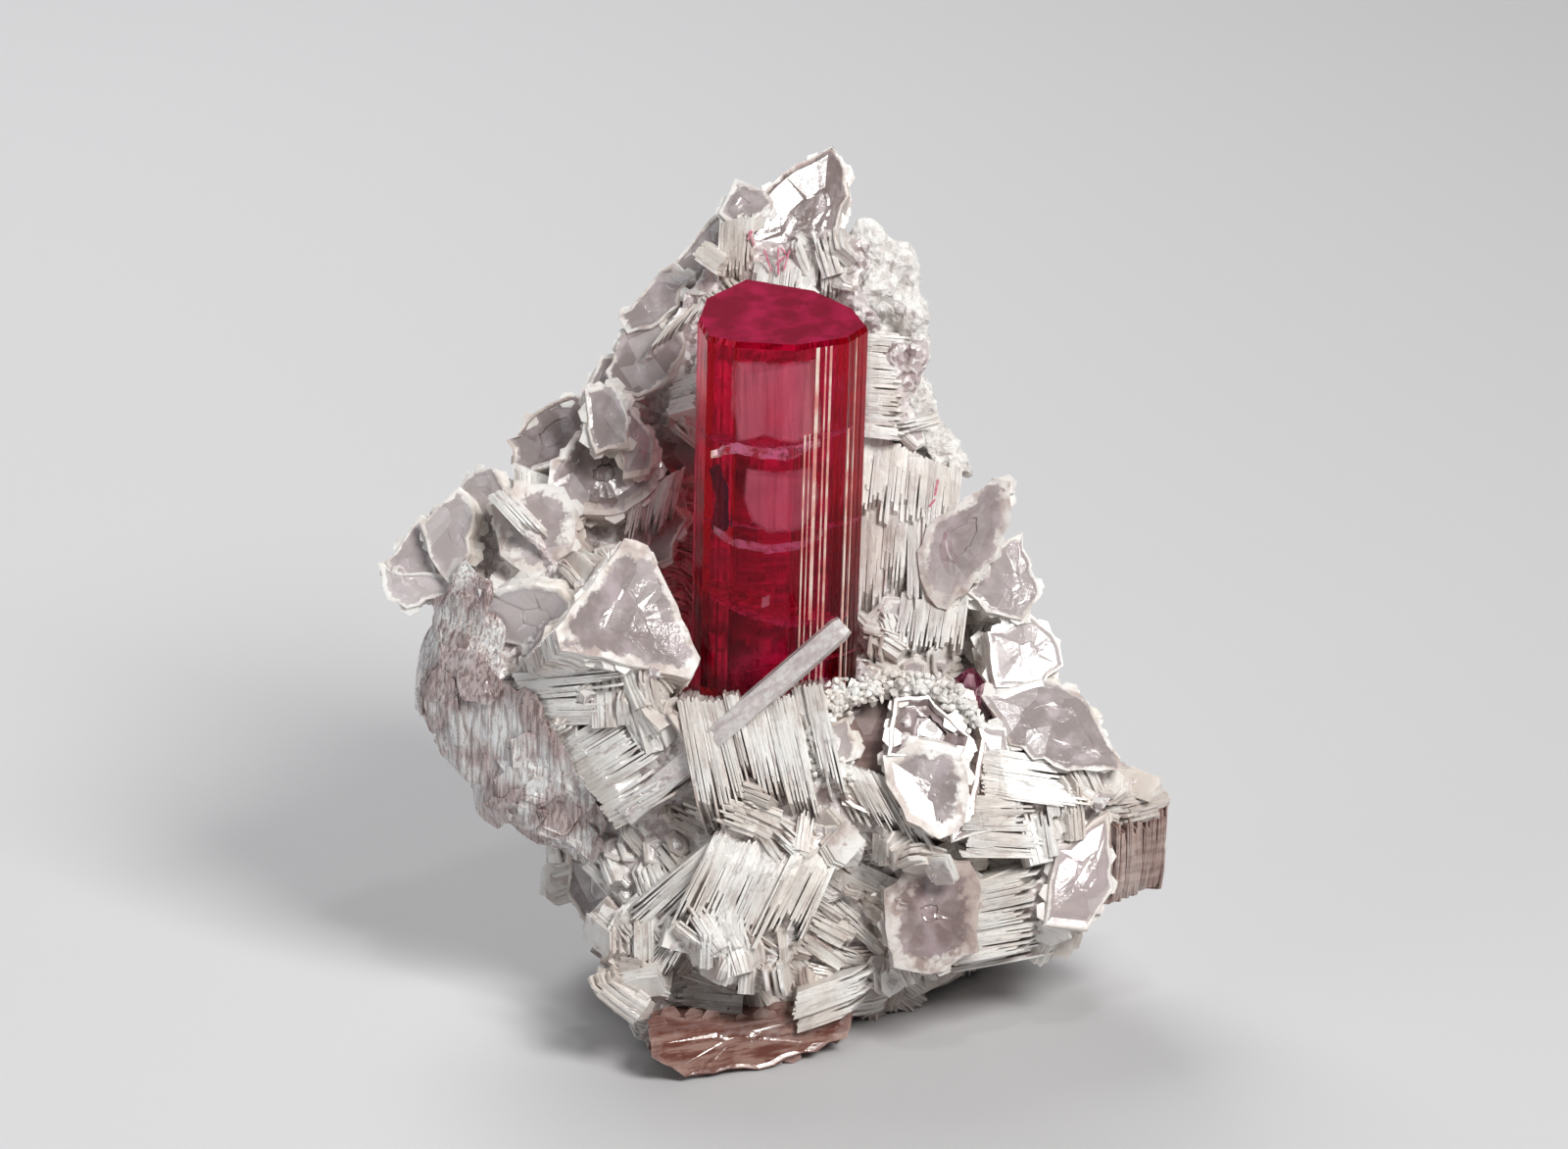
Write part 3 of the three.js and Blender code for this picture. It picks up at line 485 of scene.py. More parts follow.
def joined(pieces, name, material, floor=True):
    deselectAll()
    for piece in pieces:
        piece.select_set(True)
    bpy.context.view_layer.objects.active = pieces[0]
    if len(pieces) > 1:
        bpy.ops.object.join()
    piece = bpy.context.view_layer.objects.active
    piece.name = name
    piece.data.name = name
    if material:
        piece.data.materials.clear()
        piece.data.materials.append(material)
    if not floor:
        return piece
    for vertex in piece.data.vertices:            # nothing reaches below the flat break it rests on
        vertex.co.z = max(vertex.co.z, 0)
    return piece


def copied(template, matrix, lamina=None, tone=None, stain=None):
    piece = template.copy()
    piece.data = template.data.copy()
    piece.data.transform(matrix)
    if matrix.determinant() < 0:
        piece.data.flip_normals()
    bpy.context.scene.collection.objects.link(piece)
    for name, value in (("lamina", lamina), ("tone", tone), ("stain", stain)):
        if value is not None:
            writeAttribute(piece.data, name, np.zeros(len(piece.data.vertices)) + value)
    return piece


def spanned(origin, first, second, third):      # the matrix that carries the unit axes to three ways
    matrix = Matrix((first, second, third)).transposed().to_4x4()
    matrix.translation = origin
    return matrix


def repeated(placings, name, material):     # one mesh of many copies, from (template, matrix, marks)
    spots, faces, known, first = [], [], {}, 0
    marks = {"rim": [], "lamina": [], "tone": [], "stain": []}
    for template, matrix, own in placings:
        if template.name not in known:
            mesh = template.data
            shape = np.empty(len(mesh.vertices) * 3, np.float32)
            mesh.vertices.foreach_get("co", shape)
            layers = {}
            for key in marks:
                layers[key] = np.empty(len(mesh.vertices), np.float32)
                mesh.attributes[key].data.foreach_get("value", layers[key])
            sides = [tuple(face.vertices) for face in mesh.polygons]
            known[template.name] = (shape.reshape(-1, 3), sides, layers)
        shape, sides, layers = known[template.name]
        turn = np.array(matrix)
        spots.append(shape @ turn[:3, :3].T + turn[:3, 3])
        backwards = matrix.determinant() < 0
        faces += [tuple(first + k for k in (side[::-1] if backwards else side)) for side in sides]
        for key in marks:
            marks[key].append(layers[key] * (key in ("rim", "lamina")) + own.get(key, 0))
        first += len(shape)
    mesh = bpy.data.meshes.new(name)
    mesh.from_pydata(np.concatenate(spots).tolist(), [], faces)
    for key, values in marks.items():
        writeAttribute(mesh, key, np.concatenate(values))
    piece = bpy.data.objects.new(name, mesh)
    bpy.context.scene.collection.objects.link(piece)
    return joined([piece], name, material)


# A mica book: a stack of thin plates from its rear end to its face, with a pale raised rim round the face
bookDefaults = {"taper": 0.9, "spacing": 0.24, "ragged": 0.06, "rim": 0.24, "sunk": 0.10, "terraces": 1,
                "tone": 0.6, "stain": 0.0, "step": 0.06, "stepRows": 4, "comb": 0.018, "waver": 0.02}
fullTurn = 6.28


def edgePoints(face, every, waver=0.10):    # the outline with extra points along its longer edges
    points = []
    for k, (a, b) in enumerate(face):
        c, d = face[(k + 1) % len(face)]
        parts = max(1, round(math.dist((a, b), (c, d)) / every))
        for part in range(parts):
            share = part / parts
            off = waver * (chance(a + c, b + part) - 0.5) if part else 0
            points.append((a + (c - a) * share + off, b + (d - b) * share - off))
    return points


flake = {"corners": 6, "ragged": 0.25, "flatter": 0.2, "radius": (0.4, 0.85), "thick": (0.07, 0.16),
         "sunk": 0.05, "tilt": 0.06, "rounds": 2, "first": 0.04, "reach": 0.8, "bias": 1.3, "inset": 0.95,
         "tone": 0.3}


def makeFlake():                        # one thin small plate, radius 1
    piece = flatFace(flake["corners"])
    editAll()
    roughen(flake["ragged"], seed=6)
    resize((1, 1, flake["flatter"]))
    extrude((0, 0, 1))
    finishEdit()
    markMica(piece.data)
    piece.name = "flakeTemplate"
    return piece


flakeTemplate = makeFlake()
flakePlacings = []


def acrossFrom(axis, rnd):              # a way square to the axis, turned by chance
    return Matrix.Rotation(rnd.uniform(0, fullTurn), 3, axis) @ axis.orthogonal().normalized()


def frayEdges(book, middle, points, seed):      # loose flakes that stand out of a book's sides
    rnd = random.Random(round(seed * 1000))
    back = Vector(book["back"])
    first = placed((1, 0, book["slope"][0])).normalized()
    flat = first.cross(placed((0, 1, book["slope"][1]))).normalized()
    for k, (a, b) in enumerate(points * flake["rounds"]):
        share = flake["first"] + rnd.random() ** flake["bias"] * flake["reach"]
        size = (1 + (book["taper"] - 1) * share) * flake["inset"]
        c, d = points[(k + 1) % len(points)]
        along = rnd.random()
        a, b = a + (c - a) * along, b + (d - b) * along
        a, b = middle[0] + (a - middle[0]) * size, middle[1] + (b - middle[1]) * size
        near = book["near"] + book["slope"][0] * (a - middle[0]) + book["slope"][1] * (b - middle[1])
        spot = placed((a + back.x * share, b + back.y * share, near + back.z * share))
        radius = mm * rnd.uniform(*flake["radius"])
        axis = Matrix.Rotation(rnd.gauss(0, flake["tilt"]), 3, first) @ flat
        side = acrossFrom(axis, rnd)
        matrix = spanned(spot - axis * flake["sunk"] * mm, side * radius, axis.cross(side) * radius,
                         axis * mm * rnd.uniform(*flake["thick"]))
        own = {"lamina": rnd.uniform(0, 60), "tone": book["tone"] * flake["tone"], "stain": book["stain"]}
        flakePlacings.append((flakeTemplate, matrix, own))


def faceSize(face):                     # about how wide an outline is where it is narrowest
    area = sum(a * d - c * b for (a, b), (c, d) in zip(face, face[1:] + face[:1])) / 2
    around = sum(math.dist(p, q) for p, q in zip(face, face[1:] + face[:1]))
    return 3 * abs(area) / around


def makeBook(spec):
    book = {**bookDefaults, **spec}
    middle = [sum(p[k] for p in book["face"]) / len(book["face"]) for k in (0, 1)]
    back = Vector(book["back"])
    points = edgePoints(book["face"], 1.0)
    count = len(points)
    laminae = max(6, round(back.length / book["spacing"]))
    seed = middle[0] * 3.1 + middle[1]

    def depthAt(a, b):
        return book["near"] + book["slope"][0] * (a - middle[0]) + book["slope"][1] * (b - middle[1])

    piece = flatFace(count, mm)
    for vertex, (a, b) in zip(piece.data.vertices, points):
        a = middle[0] + (a - middle[0]) * book["taper"]
        b = middle[1] + (b - middle[1]) * book["taper"]
        vertex.co = placed((a + back.x, b + back.y, depthAt(a, b) + back.z))
    editAll()
    step = placed(-back / laminae)
    size = book["taper"]
    for k in range(1, laminae + 1):
        share = 1 - k / laminae
        wander = book["step"] * (chance(seed, k // book["stepRows"]) - 0.5)
        row = 1 + wander + book["comb"] * (-1) ** k + book["waver"] * (chance(seed, k) - 0.5)
        wanted = (1 + (book["taper"] - 1) * share) * (row if k < laminae else 1)
        centre = placed([start + back[n] * share for n, start in enumerate((*middle, book["near"]))])
        extrude(step)
        resize([wanted / size] * 3, centre)
        roughen(book["ragged"] * mm, k + count)
        size = wanted
    bpy.ops.object.mode_set(mode="OBJECT")
    for vertex in piece.data.vertices[laminae * count:]:
        a, b = vertex.co.x / mm, vertex.co.dot(upWay) / mm
        vertex.co = placed((a, b, depthAt(a, b)))
    bpy.ops.object.mode_set(mode="EDIT")
    rims = [1.0] * (laminae + 1)
    wide = faceSize(book["face"]) / 2
    centre = placed((*middle, book["near"]))

    def ledge(inwards, down, rim, aside=(0, 0, 0)):      # the face drawn in by some millimetres and lowered
        nonlocal wide
        share = max(0.3, 1 - inwards / wide)
        extrude(-nearWay * down * mm)
        resize([share] * 3, centre + placed(aside))
        wide *= share
        rims.append(rim)

    ledge(book["rim"] * 0.4, 0, 0.8)
    ledge(book["rim"], book["sunk"], 0.15)
    bay = wide / (book["terraces"] + 1)
    for k in range(book["terraces"]):
        aside = [(chance(seed, k + 60 + n) - 0.5) * 1.3 * wide for n in (0, 9)]
        ledge(bay * (0.7 + 0.9 * chance(seed, k + 40)), 0.02, 0, (*aside, 0))
        roughen(0.10 * mm, k + 3)
        ledge(0.05, book["sunk"] * 0.6, 0.12)
        ledge(0.12, 0, 0)
    finishEdit()
    ring = np.arange(len(piece.data.vertices)) // count
    lamina = np.minimum(ring, laminae) * book["spacing"] + seed
    markMica(piece.data, np.array(rims)[ring], lamina, book["tone"], book["stain"])
    frayEdges(book, middle, points, seed)
    return piece


plate = {"rows": 6, "ragged": 0.014, "corner": (0.93, 0.16), "cut": (0.25, 0.9), "bow": 0.10, "kinds": 7}


# Thin plates: a few are modelled, and every bundle of plates on edge is copies of them
def makePlate(seed):
    rnd = random.Random(seed)
    piece = flatGrid(1, plate["rows"])
    editAll()
    bpy.ops.transform.translate(value=(-0.5, 0.5, 0))
    roughen(plate["ragged"], seed)
    for side in (-1, 1):
        high = plate["corner"][0] - plate["corner"][1] * rnd.random()
        steep = plate["cut"][0] + plate["cut"][1] * rnd.random()
        cutOff((-0.5 - side * 0.1, high, 0), (side * steep, 1, 0))
    bpy.ops.mesh.select_all(action="SELECT")
    extrude((0, 0, 1))
    finishEdit()
    for vertex in piece.data.vertices:      # the front edge bows forwards between its ends
        vertex.co.x -= plate["bow"] * abs(2 * vertex.co.y - 0.9) ** 3
    markMica(piece.data)
    piece.name = f"plateTemplate{seed}"
    return piece


plateTemplates = [makePlate(seed + 1) for seed in range(plate["kinds"])]
fanDefaults = {"ragged": 0.24, "relief": 1.0, "fan": (0, 0, 0), "deep": (0, 0, -4), "count": 16, "finer": 2.5,
               "thin": 1.7, "tone": 0.3, "stain": 0.0, "curl": 0.045, "block": (9, 26), "raised": 0.70,
               "uneven": 0.35, "dome": 0.22}


def makeFan(spec):                      # plates standing on edge side by side, in rounded blocks
    fan = {**fanDefaults, **spec}
    start, end = placed(fan["from"]), placed(fan["to"])
    run, deep, spread = placed(fan["along"]), placed(fan["deep"]), placed(fan["fan"])
    seed = fan["from"][0] * 5.3 + fan["from"][1]
    rnd = random.Random(round(seed * 100))
    pieces = []
    count = round(fan["count"] * fan["finer"])
    across = (end - start) / count
    block = {"first": 0, "size": 0}
    for k in range(count):
        share = k / (count - 1)
        if k >= block["first"] + block["size"]:
            block = {"first": k, "size": rnd.randint(*fan["block"]),
                     "lift": rnd.uniform(-1, 1) * fan["uneven"] * fan["relief"],
                     "reach": 1 - fan["ragged"] * rnd.random(), "start": 0.10 * rnd.random(),
                     "lean": rnd.uniform(-1, 1) * fan["curl"], "tone": rnd.uniform(-0.2, 0.3)}
        dome = math.sin(math.pi * (k - block["first"] + 0.5) / block["size"])
        reach = (run + spread * share) * (block["reach"] - 0.04 * rnd.random())
        bend = across.normalized() * (block["lean"] + rnd.uniform(-1, 1) * 0.012) * reach.length
        high = fan["raised"] + block["lift"] + fan["dome"] * dome + 0.015 * rnd.uniform(-1, 1)
        lift = nearWay * mm * high
        origin = start.lerp(end, share) + lift - reach * (block["start"] + 0.03 * rnd.random())
        matrix = spanned(origin, -deep, reach + bend, across * fan["thin"])
        template = plateTemplates[rnd.randrange(len(plateTemplates))]
        tone = fan["tone"] + block["tone"] + 0.2 * rnd.uniform(-1, 1)
        pieces.append(copied(template, matrix, seed + k * across.length / mm, tone, fan["stain"]))
    return pieces


# The large crystal: a rounded three-sided prism, finely furrowed along its length, with a flat matt end
crystal = {
    "width": 11.9, "foot": 15.5, "top": 51.0, "lean": 1.5, "footX": -0.3, "bevel": 0.4, "endSlope": 0.075,
    "outline": [(-0.5, -0.12), (-0.44, -0.39), (-0.28, -0.47), (0.08, -0.5), (0.39, -0.36), (0.5, -0.17),
                (0.42, 0.08), (0.19, 0.35), (-0.22, 0.51), (-0.46, 0.19)],
    "furrow": [0.04, 0.02, 0.008, 0.02, 0.06, 0.05, 0.03, 0.04, 0.04, 0.04], "every": 0.26, "fineSide": 3,
    "fineEvery": 0.13,
    # the furrow columns, and the share of each level, that take the pale streak paint: painted highlights
    "highlightColumns": {3: (6, 9, 12, 13, 17, 20), 4: (1, 4)}, "highlightStreak": (0.35, 0.8, 0.9, 0.9, 0.8, 0, 0),
    "stops": [0.22, 0.41, 0.63, 0.8, 1.0], "widening": 0.025, "narrow": 0.975,
}


def makeCrystal():
    rnd = random.Random(41)
    corners = [Vector(p) * crystal["width"] for p in crystal["outline"]]
    points, highlightColumns = [], []
    for k, corner in enumerate(corners):
        following = corners[(k + 1) % len(corners)]
        side = following - corner
        outward = Vector((side.y, -side.x)).normalized()
        parts = max(3, round(side.length / crystal["fineEvery" if k == crystal["fineSide"] else "every"]))
        for part in range(parts):
            if part in crystal["highlightColumns"].get(k, ()):
                highlightColumns.append(len(points))
            furrow = 0 if part == 0 else crystal["furrow"][k] * rnd.uniform(-1.6, 0.4)
            along = part + rnd.uniform(-0.25, 0.25) * (part > 0)
            points.append(corner + side * along / parts + outward * furrow)
    piece = flatFace(len(points), mm)
    for vertex, point in zip(piece.data.vertices, points):
        vertex.co = (point.x * crystal["narrow"] * mm, point.y * crystal["narrow"] * mm, crystal["foot"] * mm)
    editAll()
    rise = crystal["top"] - crystal["foot"]
    stops = crystal["stops"]
    last = 0
    for stop in stops:
        height = (stop - last) * rise * mm - (crystal["bevel"] * mm if stop == 1.0 else 0)
        wider = 1 + crystal["widening"] * (stop - last)
        extrude((0, 0, height))
        resize((wider, wider, 1))
        last = stop
    extrude((0, 0, crystal["bevel"] * mm))
    resize((crystal["narrow"], crystal["narrow"], 1))
    finishEdit()
    for vertex in piece.data.vertices[len(points) * len(stops):]:       # the end slopes a little to the front
        vertex.co.z += vertex.co.y * crystal["endSlope"]
    lean = Matrix.Rotation(math.radians(crystal["lean"]), 4, "Y")
    down = Matrix.Translation((0, 0, -crystal["foot"] * mm))
    back = Matrix.Translation((crystal["footX"] * mm, 0, crystal["foot"] * mm))
    piece.data.transform(back @ lean @ down)
    for material in (gemMaterial, gemEndMaterial, gemHighlightStreakMaterial):
        piece.data.materials.append(material)
    for face in piece.data.polygons:
        face.material_index = int(face.normal.z > 0.5)
        column = min(vertex % len(points) for vertex in face.vertices)
        level = min(face.vertices) // len(points)
        # chosen furrow quads get the pale matt streak material, a painted highlight glint
        highlightStreak = column in highlightColumns and chance(column, level) < crystal["highlightStreak"][level]
        if len(face.vertices) == 4 and highlightStreak:
            face.material_index = 2
    piece.name = piece.data.name = "rubelliteCrystal"
    return piece


# Cracks across the crystal: thin wavy sheets, each a part of its cross-section
crystalVeils = [
    {"z": 43.4, "share": 0.92, "cut": (0.1, 1.0, -0.35), "tilt": (7, -4)},
    {"z": 36.4, "share": 0.92, "cut": (-0.1, 1.0, -0.3), "tilt": (-4, 3)},
    {"z": 40.0, "share": 0.45, "cut": (-1.0, 0.4, -0.2), "tilt": (14, 30)},
    {"z": 30.2, "share": 0.75, "cut": (0.6, 1.0, 0.2), "tilt": (10, 12)},
    {"z": 25.5, "share": 0.80, "cut": (-0.8, 0.6, 0.1), "tilt": (-9, -8)},
    {"z": 22.0, "share": 0.85, "cut": (0.5, 1.0, 0.3), "tilt": (14, 5)},
    {"z": 47.6, "share": 0.40, "cut": (1.0, -0.2, 0.1), "tilt": (10, -20)},
]
# Patches just inside the front of the crystal: pale sheets that paint the bright light showing through it,
# and one near-black sheet marked dark
# that paints shade. For each: the outline from the front, how far forward, how wide the edge fades and how
# much it covers
crystalWindows = [
    {"outline": [(-2.6, 43.2), (-2.9, 46.2), (-2.7, 49.2), (0.6, 49.0), (3.1, 49.3), (3.3, 43.7), (1.4, 43.1),
                 (-0.8, 43.6)], "y": -4.9, "soft": 0.4, "cover": 1},
    {"outline": [(-1.9, 41.3), (0.6, 41.0), (2.8, 41.5), (3.1, 39.4), (2.9, 37.6), (1.6, 36.7), (-0.2, 36.4),
                 (-1.5, 37.2), (-2.2, 39.0)], "y": -4.8, "soft": 0.4, "cover": 1},
    {"outline": [(3.9, 47.5), (4.6, 47.9), (4.8, 38.0), (4.2, 37.2)], "y": -2.4, "soft": 0.6, "cover": 0.6},
    {"outline": [(-4.6, 34.6), (-1.0, 35.2), (2.2, 34.4), (1.2, 30.6), (-2.6, 31.0), (-4.2, 32.6)],
     "y": -1.6, "soft": 1.1, "cover": 0.45},
    {"outline": [(-3.4, 27.2), (0.2, 28.2), (3.8, 26.6), (3.0, 22.6), (-1.2, 21.8), (-3.8, 23.8)],
     "y": -3.2, "soft": 1.1, "cover": 0.5, "even": 0.2},
    {"outline": [(-4.4, 42.5), (-2.6, 43.2), (-0.9, 42.8), (0.8, 42.9), (3.2, 43.4), (3.2, 42.8), (0.9, 41.9),
                 (-0.9, 42.0), (-2.6, 42.4), (-4.4, 41.9)], "y": -5.0, "cover": 1.0, "even": 0},
    {"outline": [(-4.2, 36.9), (-2.4, 36.0), (-0.4, 35.6), (1.8, 35.9), (3.4, 36.7), (3.4, 36.2), (1.8, 35.2),
                 (-0.4, 34.9), (-2.4, 35.3), (-4.2, 36.3)], "y": -4.8, "cover": 0.6, "even": 0},
    {"outline": [(-4.5, 41.0), (-3.7, 41.4), (-3.0, 39.6), (-2.9, 37.0), (-3.6, 35.9), (-4.3, 36.6),
                 # painted shade: a near-black sheet for the dark patch on the crystal's left
                 (-3.9, 38.8)], "y": -4.5, "dark": 1},
    {"outline": [(-0.8, 31.7), (-0.25, 31.9), (-0.35, 31.1), (-0.9, 30.9)], "y": -5.0, "cover": 0.6},
]


veilShape = {"corners": 40, "cuts": 2, "ragged": 0.06, "thick": 0.008, "wide": 0.47, "cover": 0.9}
windowShape = {"every": 0.5, "ragged": 0.07, "thick": 0.03, "cover": 0.9}


def makeSheets():
    pieces = []
    for k, sheet in enumerate(crystalVeils):
        deselectAll()
        bpy.ops.mesh.primitive_circle_add(vertices=veilShape["corners"], radius=1, fill_type="TRIFAN",
                                          location=(0, 0, 0))
        piece = bpy.context.object
        editAll()
        bpy.ops.mesh.subdivide(number_cuts=veilShape["cuts"])
        across, up, reach = sheet["cut"]
        cutOff((0, reach, 0), (across, up, 0))
        bpy.ops.mesh.select_all(action="SELECT")
        roughen(veilShape["ragged"], k + 1)
        extrude((0, 0, veilShape["thick"]))
        finishEdit()
        half = crystal["width"] * veilShape["wide"] * sheet["share"] * mm
        turn = Matrix.Rotation(math.radians(sheet["tilt"][0]), 4, "X")
        turn = turn @ Matrix.Rotation(math.radians(sheet["tilt"][1]), 4, "Y")
        shift = math.tan(math.radians(crystal["lean"])) * (sheet["z"] - crystal["foot"]) + crystal["footX"]
        place = Matrix.Translation((shift * mm, 0.1 * mm, sheet["z"] * mm))
        piece.data.transform(place @ turn @ Matrix.Diagonal((half, half, half * 0.6, 1)))
        markMica(piece.data, rim=veilShape["cover"], tone=0.0)
        pieces.append(piece)
    return pieces


def makeWindows():
    pieces = []
    for k, window in enumerate(crystalWindows):
        corners = edgePoints(window["outline"], windowShape["every"])
        fading = window.get("soft", 0)
        piece = flatFace(len(corners), mm)
        middle = [sum(p[n] for p in corners) / len(corners) * mm for n in (0, 1)]
        for vertex, (x, z) in zip(piece.data.vertices, corners):
            vertex.co = (x * mm, window["y"] * mm, z * mm)
        editAll()
        roughen(windowShape["ragged"] * mm, k + 31)
        if fading:
            extrude((0, 0, 0))
            resize([1 - fading / 4] * 3, (middle[0], window["y"] * mm, middle[1]))
        extrude((0, windowShape["thick"] * mm, 0))
        finishEdit()
        outline = [Vector(p) for p in corners]
        fade = []
        for vertex in piece.data.vertices:
            spot = Vector((vertex.co.x, vertex.co.z)) / mm
            fade.append(min(1.0, min((spot - p).length for p in outline) / fading) if fading else 1.0)
        cover = np.array(fade) * window.get("cover", windowShape["cover"])
        # the dark mark goes into the stain attribute, where it paints shade
        markMica(piece.data, cover, 0, window.get("even", 1), window.get("dark", 0))
        pieces.append(piece)
    return pieces


crystalPiece = makeCrystal()
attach(crystalPiece, "root")
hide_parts("elbaite_crystal")
veilPiece = joined(makeSheets() + makeWindows(), "crystalVeils", veilMaterial)
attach(veilPiece, "root")
print("crystal and its veils")

smallCrystal = {"at": (13.7, 20.9, 9.2), "radius": 1.05, "length": 4.6, "turn": 24, "lean": 16,
                "furrow": 0.985, "tip": 0.34, "narrow": 0.4}


def makeSmallCrystal():
    half = smallCrystal["length"] / 2
    piece = flatFace(18, smallCrystal["radius"] * mm)
    for k, vertex in enumerate(piece.data.vertices):     # six sides, each with two furrows
        shrink = math.cos(math.radians(30)) / math.cos(math.radians(20 * k % 60 - 30))
        vertex.co *= shrink * (1.0 if k % 3 == 0 else smallCrystal["furrow"])
    editAll()
    bpy.ops.transform.translate(value=(0, 0, -half * mm))
    extrude((0, 0, half * (2 - smallCrystal["tip"]) * mm))
    extrude((0, 0, half * smallCrystal["tip"] * mm))
    resize((smallCrystal["narrow"], smallCrystal["narrow"], 1))
    finishEdit()
    turn = Matrix.Rotation(math.radians(smallCrystal["turn"]), 4, "Z")
    lean = Matrix.Rotation(math.radians(smallCrystal["lean"]), 4, "X")
    piece.data.transform(Matrix.Translation(placed(smallCrystal["at"])) @ turn @ lean)
    piece.data.materials.append(smallGemMaterial)
    piece.name = piece.data.name = "smallRubellite"
    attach(piece, "root")
    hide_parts("elbaite_small_crystal")


makeSmallCrystal()
print("small crystal")

